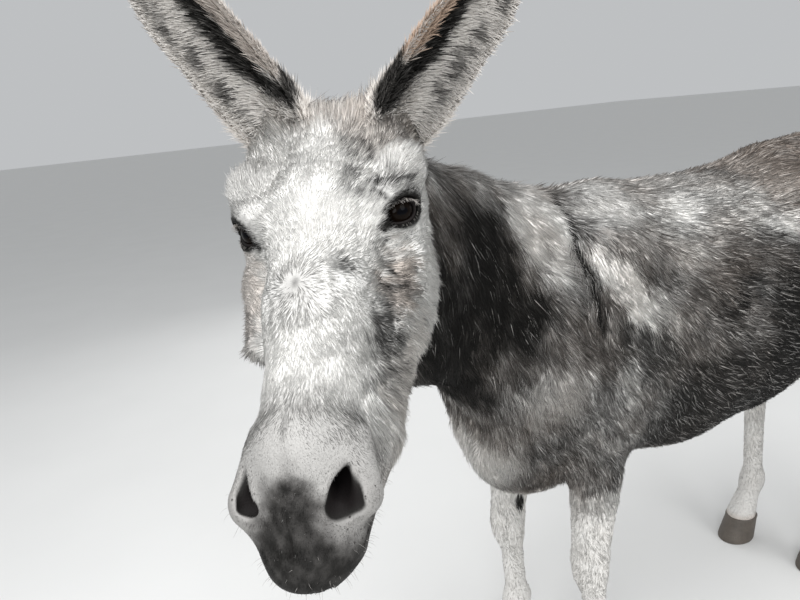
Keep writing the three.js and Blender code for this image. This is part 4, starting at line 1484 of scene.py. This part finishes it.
def ear_point(side, t, turn, offset):
    """A point of the ear: t from root to tip, turn from -1 to 1 between its edges, offset out of its back.

    Gristle and fluff make the lower part of the bowl shallower on its inner side.
    """
    root, up, front, across = ear_frame(side)
    t, turn, offset = np.broadcast_arrays(np.asarray(t, float), turn, offset)
    taper = np.sqrt(np.maximum(0, 1 - np.maximum(0, t - 0.42) ** 2.2 / 0.6 ** 2.2))
    taper = taper * (1 - 0.11 * ease(t, 0.15, 0.35) * (1 - ease(t, 0.6, 0.85)))
    half = EAR_HALF_WIDTH * np.minimum(1, 0.54 + 1.4 * t) * taper + 1.5
    curl = ear_curl(t)
    radius = half / np.where(curl < math.pi / 2, np.sin(curl), 1)
    angle = turn * curl
    filled = 9 * (1 - ease(t, 0.35, 0.8)) + 0.5 * radius * (1 - ease(t, 0.2, 0.42))
    filled = filled * (1 - turn ** 2) * (offset < 0)
    reach = np.maximum(radius + offset - filled, 0.5)
    spine_front = 18 * t * t - 8 * np.sin(math.pi * t) + radius - reach * np.cos(angle)
    return (root + up * (EAR_LENGTH * (t - 0.06))[..., None] + front * spine_front[..., None]
            + across * (reach * np.sin(angle))[..., None])


BAND_PLACES = (0.26, 0.33, 0.4, 0.5, 0.6, 0.75, 1.0)  # from an ear's root to its tip
BAND_INNER = (-1.1, -1.1, -0.92, -0.74, -0.58, -0.6, -0.4)  # where the dark band, partly painted shade in the ear's bowl, starts across the ear
BAND_OUTER = (-0.8, -0.4, -0.16, 0.05, 0.0, -0.1, 0.0)  # and where it ends


def ear_marks(s, t, turn, inner):
    """Pale, warm and dark shares over an ear; across is -1 at its inner edge and 1 at its outer edge."""
    curl = np.minimum(ear_curl(t), math.pi / 2)
    across = np.sin(turn * s * curl) / np.sin(curl)
    blot = mottle(np.stack([across * 40, t * 200, inner * 60.0], 1).astype(np.float32), 34, 120 + s)
    across = across + 0.06 * blot
    low = np.interp(t, BAND_PLACES, BAND_INNER) - 0.36 * (s > 0) * (1 - ease(t, 0.5, 0.6))
    high = np.interp(t, BAND_PLACES, BAND_OUTER)
    starts = ease(across, low - 0.08, low + 0.06)
    # The dark band is partly dark hair and partly painted shade in the hollow of the ear's bowl.
    band_and_bowl_shade = starts * (1 - ease(across, high - 0.14, high + 0.14)) * ease(t, 0.22, 0.3)
    margin = (1 - ease(across, low - 0.1, low + 0.06)) * ease(t, 0.3, 0.42)
    shade = ease(across, 0.35, 0.6) * (1 - ease(across, 0.86, 0.97))
    shade = shade * ease(blot, -0.6, 0.5) * ease(t, 0.15, 0.3)
    cream = (1 - ease(t, 0.3, 0.46)) * ease(np.abs(turn), 0.3, 0.55)
    rust = (s > 0) * ease(t, 0.46, 0.56) * ease(-turn, 0.3, 0.5) * (1 - ease(-turn, 0.85, 1.0))
    smoky = over(0.3 * ease(blot, 0.1, 0.6), 0.6 * ease(t, 0.78, 0.98)) * (1 - cream)
    inside = (
        lerp(1, 0.6, margin),
        over(0.16, margin * (0.4 if s < 0 else ease(t, 0.5, 0.6))),
        over(0.98 * band_and_bowl_shade, 0.75 * shade, 0.2 * margin),
    )
    outside = (
        lerp(0.5 + 0.14 * blot, 1.0, cream),
        over(0.24, 0.9 * rust),
        over(smoky, 0.95 * band_and_bowl_shade * ease(-turn * s, 0.5, 0.75)),
    )
    return [np.clip(np.where(inner > 0.5, a, b), 0, 1) for a, b in zip(inside, outside)]


def ear_skin(side, s, finish):
    rows, columns = 72, 30
    t = np.linspace(0, 1, rows)[:, None]
    turn = np.linspace(-1, 1, columns)[None]
    outer = ear_point(side, t, turn, EAR_WALL)
    inner = ear_point(side, t, turn[:, ::-1], -EAR_WALL)
    edges = [ear_point(side, t, edge + 0 * t, 0 * t) for edge in (1, -1)]
    ring = np.concatenate([outer, edges[0], inner, edges[1]], 1)
    sheet = np.concatenate([turn[0], [1], turn[0, ::-1], [-1]])
    hidden = np.concatenate([np.zeros(columns), [0.5], np.ones(columns), [0.5]])
    width = len(sheet)
    mesh = close_ends(new_mesh(f"ear_{side}_skin", from_head(ring.reshape(-1, 3)), grid_faces(rows, width)))
    pale, warm, dark = ear_marks(s, np.repeat(t[:, 0], width), np.tile(sheet, rows), np.tile(hidden, rows))
    zero = np.zeros(rows * width)
    set_numbers(mesh, pale=pale * 0.92, warm=warm, dark=dark, bare=zero, wet=zero, follicles=zero)
    return add_piece(f"ear_{side}_skin", mesh, finish, [f"ear_{side}"])


def ear_map(t, turn, inner):
    return np.stack([0.02 + 0.46 * (0.5 + 0.5 * turn) + 0.5 * inner, 0.02 + 0.96 * t], 1)


def back_hair(rng, s, t, turn, ways, jitter):
    """Short hair on an ear's back, longer over the cream fur at its root."""
    ahead, sideways, normal, _ = ways
    out = turn[:, None]
    base = ((1 - ease(t, 0.24, 0.44)) * ease(np.abs(turn), 0.2, 0.5))[:, None]
    first = ahead * (1 - 0.3 * base) + (0.22 + 0.3 * base) * normal + sideways * out * 0.25 + jitter
    second = ahead + 0.05 * normal + sideways * out * 0.3 + jitter
    return first, second, rng.uniform(10, 17, len(t)) * (1 + 0.7 * base[:, 0])


def inside_hair(rng, s, t, turn, ways, jitter):
    """Long soft hair that leans across an ear's bowl to its outer edge."""
    ahead, sideways, normal, front = ways
    close = (1 - ease(t, 0.1, 0.5))[:, None]
    lateral = sideways * s * ease(turn * s, -0.4, 0.0)[:, None] * (1 - 0.5 * close)
    first = ahead * 0.7 + lateral * 0.6 + normal * (0.3 + 0.5 * close) + front * 0.3 * close + 0.6 * jitter
    second = ahead * 0.6 + lateral + front * (0.1 + 0.5 * close) + 0.7 * jitter
    return first, second, rng.uniform(14, 28, len(t)) * (1.3 - 0.6 * t)


def edge_hair(rng, s, t, turn, ways, jitter):
    """A fringe along both edges of an ear."""
    ahead, sideways, _, front = ways
    out = np.sign(turn)[:, None]
    first = sideways * out * 0.7 + ahead * 0.7 + front * 0.3 + jitter
    second = ahead + sideways * out * 0.35 + front * 0.1 + jitter
    return first, second, rng.uniform(7, 16, len(t)) * (1.15 - 0.45 * t)


EAR_HAIR = (
    ("back", back_hair, 7000, 2500, 2.4, 0),
    ("inside", inside_hair, 5200, 2000, 1.6, 2),
    ("edge", edge_hair, 2800, 1200, 1.35, 2),
)


def ear_hair(side, s, finish):
    rng = np.random.default_rng(130 + s)
    _, _, front, across = ear_frame(side)
    for kind, grow, count, quick_count, width, rings in EAR_HAIR:
        count = count
        t = rng.uniform(0.05, 0.995, count)
        turn = rng.uniform(-1, 1, count)
        if kind == "edge":
            turn = np.sign(turn) * rng.uniform(0.86, 1.0, count)
            t = rng.uniform(0.1, 1.0, count)
        facing = -1 if kind == "inside" else 1
        offset = np.full(count, (EAR_WALL - 0.4) * facing)
        roots = ear_point(side, t, turn, offset)
        normal = unit(ear_point(side, t, turn, offset + facing) - roots)
        ahead = unit(ear_point(side, np.minimum(t + 0.02, 1.0) + 0.001, turn, offset) - roots)
        beside = ear_point(side, t, np.clip(turn + 0.02, -1.0, 1.02), offset)
        sideways = unit(beside - roots + across * 1e-4)
        jitter = rng.normal(0, 0.16, (count, 3))
        first, second, length = grow(rng, s, t, turn, (ahead, sideways, normal, front), jitter)
        inner = np.full(count, 0.5 - 0.5 * facing)
        if kind == "edge":
            inner = rng.uniform(0, 1, count).round()
        shares = speckled(ear_marks(s, t, turn, inner), 140 + s, 0.2)
        loose_locks(f"ear_{side}_{kind}", from_head(roots), turned(unit(first)), turned(unit(second)), length,
                    np.full(count, width), shares, ear_map(t, turn, inner), finish, 150 + s, rings=rings)


# ---- hooves and tail


# height, and the shares of the hoof's width and length there
HOOF_SOLE = ((3.5, 0.5, 0.5), (3.0, 0.8, 0.82), (0.4, 0.86, 0.88), (0, 0.9, 0.92))
HOOF_WALL = (
    (0, 0.955, 0.96), (1.2, 0.985, 0.985), (4, 1.0, 1.0), (14, 0.985, 0.975), (28, 0.955, 0.935),
    (42, 0.925, 0.895), (54, 0.9, 0.86), (60, 0.91, 0.87), (63, 0.86, 0.82), (64, 0.7, 0.66),
)


def hoof(name, place, finish):
    """A boxy upright hoof with a ribbed wall, a sole, and a cleft between its heels."""
    columns = 72
    turn = np.linspace(0, 2 * math.pi, columns, endpoint=False)
    rings = []
    for z, width, length in HOOF_SOLE + HOOF_WALL:
        rise = z / CORONET
        x = np.cos(turn) * HOOF_WIDTH / 2 * width
        y = -np.sin(turn) * HOOF_LENGTH / 2 * length
        heel = np.minimum(y, HOOF_LENGTH / 2 * length * 0.8)
        cleft = 5 * np.exp(-(x / 9) ** 2) * (y > 0) * ease(z, -1, 6)
        ripples = 0.35 * math.sin(z * 0.9) if 4 < z < 56 else 0
        rings.append(np.stack([x * (1 + ripples / 40), heel + 20 * rise - cleft, z + 0 * x], 1))
    points = np.concatenate(rings) + np.array(place)
    mesh = close_ends(new_mesh(f"{name}_horn", points, grid_faces(len(rings), columns)))
    return add_piece(f"{name}_horn", mesh, finish, [name])


def tail_map(p):
    return unwrap(p, (0, TAIL_BACK, 1000), (0, TAIL_BACK, 420), (0, 1, 0))


def tail_locks(finish):
    """Long hair that hangs from the lower half of the tail's bone."""
    count = 2200
    rng = np.random.default_rng(170)
    t = rng.uniform(0, 1, count) ** 0.8
    z = lerp(760, 470, t)
    turn = rng.uniform(0, 2 * math.pi, count)
    out = np.stack([np.cos(turn), np.sin(turn), 0 * turn], 1)
    roots = np.stack([0 * z, TAIL_BACK + 0 * z, z], 1) + out * lerp(13, 5, t)[:, None]
    length = np.minimum(rng.uniform(110, 250, count), z - TAIL_TIP - rng.uniform(0, 70, count))
    swell = 0.12 * np.sin(math.pi * t)[:, None]
    wave = rng.normal(0, 0.035, (count, 3))
    first = unit(out * (0.2 + swell) + (0, 0, -1) + wave)
    second = unit(-out * 0.12 + (0, 0, -1) + wave)
    shares = speckled(even(count, 0.16, 0.1, 0.62), 171, 0.25)
    return loose_locks("tail_locks", roots, first, second, length, np.full(count, 3.4), shares,
                       tail_map(roots), finish, 172, rings=4, replaces=["tail_switch"])


def skin_piece(finish):
    """One skin in place of all the flesh, with dark linings in the nostrils and mouth that grow darker
    further in: painted shade.
    """
    points, _, quads = skin_surface()
    mesh = new_mesh("skin", points, quads)
    pale, warm, dark = marks(points)
    h = to_head(points)
    under = -(body_form(points) + coat_depth(points, h))
    in_nose = ease(-h[:, 1], 120, 180)
    # Painted shade in the nostrils and the mouth's line: the skin darkens further in, and deeper still it
    # turns to the dark inner skin colour.
    dark = over(dark, 0.97 * ease(under, 0.6, 4) * in_nose)
    wet = ease(under, 2, 10) * in_nose
    muzzle = ease(-h[:, 1], 225, 290) * head_share(points, h)
    follicles = muzzle * ease(np.abs(h[:, 0]), 22, 38)
    set_numbers(mesh, pale=pale, warm=warm, dark=dark, bare=0.7 * muzzle, wet=wet, follicles=follicles)
    flesh = [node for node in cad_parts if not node.startswith(("eye_", "ear_", "hoof_", "tail_switch"))]
    return add_piece("skin", mesh, finish, flesh)


# ---- sizes and colours that a user may change


def colour_property(name, description, default):
    return FloatVectorProperty(
        name=name, description=description, default=default, subtype="COLOR", size=3, min=0, max=1)


def angle_property(name, description, degrees):
    return FloatProperty(
        name=name, description=description, default=math.radians(degrees), subtype="ANGLE", unit="ROTATION")


def share_property(name, description, least, most):
    return FloatProperty(
        name=name, description=description, default=1.0, min=least, max=most, subtype="FACTOR")


class DonkeyColours(PropertyGroup):
    pale: colour_property("Pale hair", "White hair of the face, belly and legs", (0.8, 0.79, 0.765))
    grey: colour_property("Grey hair", "Mixed grey hair of the body", (0.15, 0.142, 0.136))
    dark: colour_property("Dark hair", "Hair of the neck, stripes and nose", (0.0125, 0.0119, 0.011))
    warm: colour_property("Warm hair", "Tan hair of the cheeks, poll and croup", (0.5, 0.375, 0.29))
    bare: colour_property("Bare skin", "Dark skin of the lids and follicles", (0.02, 0.017, 0.016))
    # The inner skin colour also gives the painted shade deep in the nostrils and mouth its colour.
    inside: colour_property("Inner skin", "Skin in the nostrils and lids", (0.012, 0.01, 0.01))
    iris: colour_property("Iris", "Colour of the iris", (0.01, 0.006, 0.004))
    pupil: colour_property("Pupil", "Colour of the pupil", (0.002, 0.002, 0.003))
    horn: colour_property("Horn", "Main colour of the hooves", (0.05, 0.043, 0.038))
    horn_pale: colour_property("Worn horn", "Paler streaks of the hooves", (0.16, 0.135, 0.11))
    floor: colour_property("Floor", "Colour of the studio floor", (0.72, 0.72, 0.71))


class DonkeyCoat(PropertyGroup):
    length: share_property("Coat length", "Length of the coat as a share of the usual", 0.5, 1.2)
    thickness: share_property("Tuft width", "Width of the tufts as a share of the usual", 0.5, 2.0)
    seed: IntProperty(name="Seed", description="Where the tufts fall", default=1, min=0)


class DonkeyCamera(PropertyGroup):
    place: FloatVectorProperty(
        name="Place", description="Where the camera stands in the model's frame", subtype="TRANSLATION",
        unit="LENGTH", size=3, default=(0.7506, -0.857, 1.1908))
    heading: angle_property("Heading", "Turn of the view from the tail's direction, to the left", 64.67)
    fall: angle_property("Fall", "How far below level the camera looks", 16.13)
    lean: angle_property("Lean", "Tilt of the camera about its view", 5.9)
    lens: FloatProperty(
        name="Lens", description="Focal length on a full frame", default=28.88, subtype="DISTANCE_CAMERA")


FINISHES = {
    "coat": coat_finish, "skin": skin_finish, "rim": rim_finish, "horn": horn_finish, "eye": eye_finish,
    "floor": floor_finish,
}


@functools.lru_cache
def finish_of(kind):
    """Each finish is made once and shared by its pieces."""
    return FINISHES[kind](f"donkey_{kind}", bpy.context.scene.donkey_colours)


class DONKEY_OT_skin(Operator):
    """One skin over the head, neck, trunk, legs and tail bone"""
    bl_idname = "donkey.skin"
    bl_label = "Skin"
    bl_options = {"REGISTER", "UNDO"}

    def execute(self, context):
        skin_piece(finish_of("skin"))
        return {"FINISHED"}


class DONKEY_OT_eyes(Operator):
    """Both eyes with their lids and lashes"""
    bl_idname = "donkey.eyes"
    bl_label = "Eyes and lids"
    bl_options = {"REGISTER", "UNDO"}

    def execute(self, context):
        for side, s in SIDES:
            eyeball(side, s, finish_of("eye"))
            lids(side, s, finish_of("rim"))
            lashes(side, s, finish_of("coat"))
        return {"FINISHED"}


class DONKEY_OT_ears(Operator):
    """Both ears with the hair on their backs, insides and edges"""
    bl_idname = "donkey.ears"
    bl_label = "Ears"
    bl_options = {"REGISTER", "UNDO"}

    def execute(self, context):
        for side, s in SIDES:
            ear_skin(side, s, finish_of("skin"))
            ear_hair(side, s, finish_of("coat"))
        return {"FINISHED"}


class DONKEY_OT_hooves(Operator):
    """Four hooves"""
    bl_idname = "donkey.hooves"
    bl_label = "Hooves"
    bl_options = {"REGISTER", "UNDO"}

    def execute(self, context):
        for side, s in SIDES:
            fore = (s * FORE_STANCE, FORE_STEP[side] + FORE_HOOF, 0)
            hind = (s * HIND_STANCE, HIND_STEP[side] + HIND_HOOF, 0)
            hoof(f"hoof_fore_{side}", fore, finish_of("horn"))
            hoof(f"hoof_hind_{side}", hind, finish_of("horn"))
        return {"FINISHED"}


class DONKEY_OT_coat(Operator):
    """The coat of the head, neck, trunk and legs"""
    bl_idname = "donkey.coat"
    bl_label = "Coat"
    bl_options = {"REGISTER", "UNDO"}

    def execute(self, context):
        coat = context.scene.donkey_coat
        for i, (name, regions, count, length, width, lift, to_map) in enumerate(COATS):
            coat_piece(name, regions, count, length * coat.length, width * coat.thickness, lift, to_map,
                       finish_of("coat"), coat.seed * 1000 + 20 * i)
        return {"FINISHED"}


class DONKEY_OT_long_hair(Operator):
    """The whiskers, and the long hair of the tail"""
    bl_idname = "donkey.long_hair"
    bl_label = "Whiskers and tail"
    bl_options = {"REGISTER", "UNDO"}

    def execute(self, context):
        whiskers(finish_of("coat"))
        tail_locks(finish_of("coat"))
        return {"FINISHED"}


FLOOR_REACH = 60.0
# name, place, what it faces, width, power
LIGHTS = (
    ("sky_panel", (0.6, -0.9, 3.4), (0.1, -0.1, 0.8), 3.2, 88),
    ("front_panel", (2.6, -2.6, 1.7), (0.2, -0.3, 0.9), 2.0, 52),
    ("side_panel", (3.0, 0.9, 2.3), (0.1, 0.0, 0.9), 2.2, 42),
    ("far_panel", (-3.0, 0.6, 2.0), (0.0, 0.2, 0.8), 2.0, 22),
)


class DONKEY_OT_stage(Operator):
    """A pale floor, soft lights and the camera"""
    bl_idname = "donkey.stage"
    bl_label = "Stage"
    bl_options = {"REGISTER", "UNDO"}

    def execute(self, context):
        scene = context.scene
        add_floor(scene)
        for light in LIGHTS:
            add_light(scene, *light)
        world = bpy.data.worlds.new("studio")
        world.use_nodes = True
        sky = world.node_tree.nodes["Background"]
        sky.inputs["Color"].default_value = (0.86, 0.88, 0.9, 1)
        sky.inputs["Strength"].default_value = 0.6
        scene.world = world
        scene.view_settings.view_transform = "Standard"
        add_camera(scene, scene.donkey_camera)
        return {"FINISHED"}


def add_floor(scene):
    floor = bpy.data.meshes.new("floor")
    corners = [(x * FLOOR_REACH, y * FLOOR_REACH, 0) for x, y in ((-1, -1), (1, -1), (1, 1), (-1, 1))]
    floor.from_pydata(corners, [], [(0, 1, 2, 3)])
    floor.materials.append(finish_of("floor"))
    stand = bpy.data.objects.new("floor", floor)
    scene.collection.objects.link(stand)


def add_light(scene, name, place, target, width, power):
    light = bpy.data.lights.new(name, "AREA")
    light.shape = "DISK"
    light.size = width
    light.energy = power
    lamp = bpy.data.objects.new(name, light)
    lamp.location = place
    lamp.rotation_euler = (Vector(target) - Vector(place)).to_track_quat("-Z", "Y").to_euler()
    scene.collection.objects.link(lamp)


def add_camera(scene, view):
    eye = bpy.data.cameras.new("camera")
    eye.sensor_width = 36
    eye.lens = view.lens
    eye.clip_start = 0.01
    camera = bpy.data.objects.new("camera", eye)
    turn = Matrix.Rotation(view.heading, 4, "Z") @ Matrix.Rotation(math.pi / 2 - view.fall, 4, "X")
    camera.matrix_world = Matrix.Translation(view.place) @ turn @ Matrix.Rotation(-view.lean, 4, "Z")
    scene.collection.objects.link(camera)
    scene.camera = camera


class DONKEY_PT_parts(Panel):
    """Lists the donkey's parts, colours and coat"""
    bl_label = "Donkey"
    bl_idname = "DONKEY_PT_parts"
    bl_space_type = "VIEW_3D"
    bl_region_type = "UI"
    bl_category = "Donkey"

    def draw(self, context):
        for operator in OPERATORS:
            self.layout.operator(operator.bl_idname)
        for group in GROUPS:
            values = getattr(context.scene, group)
            for name in GROUPS[group].__annotations__:
                self.layout.prop(values, name)


OPERATORS = (
    DONKEY_OT_stage, DONKEY_OT_skin, DONKEY_OT_eyes, DONKEY_OT_ears, DONKEY_OT_hooves, DONKEY_OT_coat,
    DONKEY_OT_long_hair,
)
GROUPS = {"donkey_colours": DonkeyColours, "donkey_coat": DonkeyCoat, "donkey_camera": DonkeyCamera}


def register():
    for made in (*GROUPS.values(), *OPERATORS, DONKEY_PT_parts):
        bpy.utils.register_class(made)
    for name, group in GROUPS.items():
        setattr(bpy.types.Scene, name, PointerProperty(type=group))


def unregister():
    for name in GROUPS:
        delattr(bpy.types.Scene, name)
    for made in (DONKEY_PT_parts, *OPERATORS, *GROUPS.values()):
        bpy.utils.unregister_class(made)


def main():
    register()
    for operator in OPERATORS:
        group, name = operator.bl_idname.split(".")
        getattr(getattr(bpy.ops, group), name)()


if __name__ == "__main__":
    main()
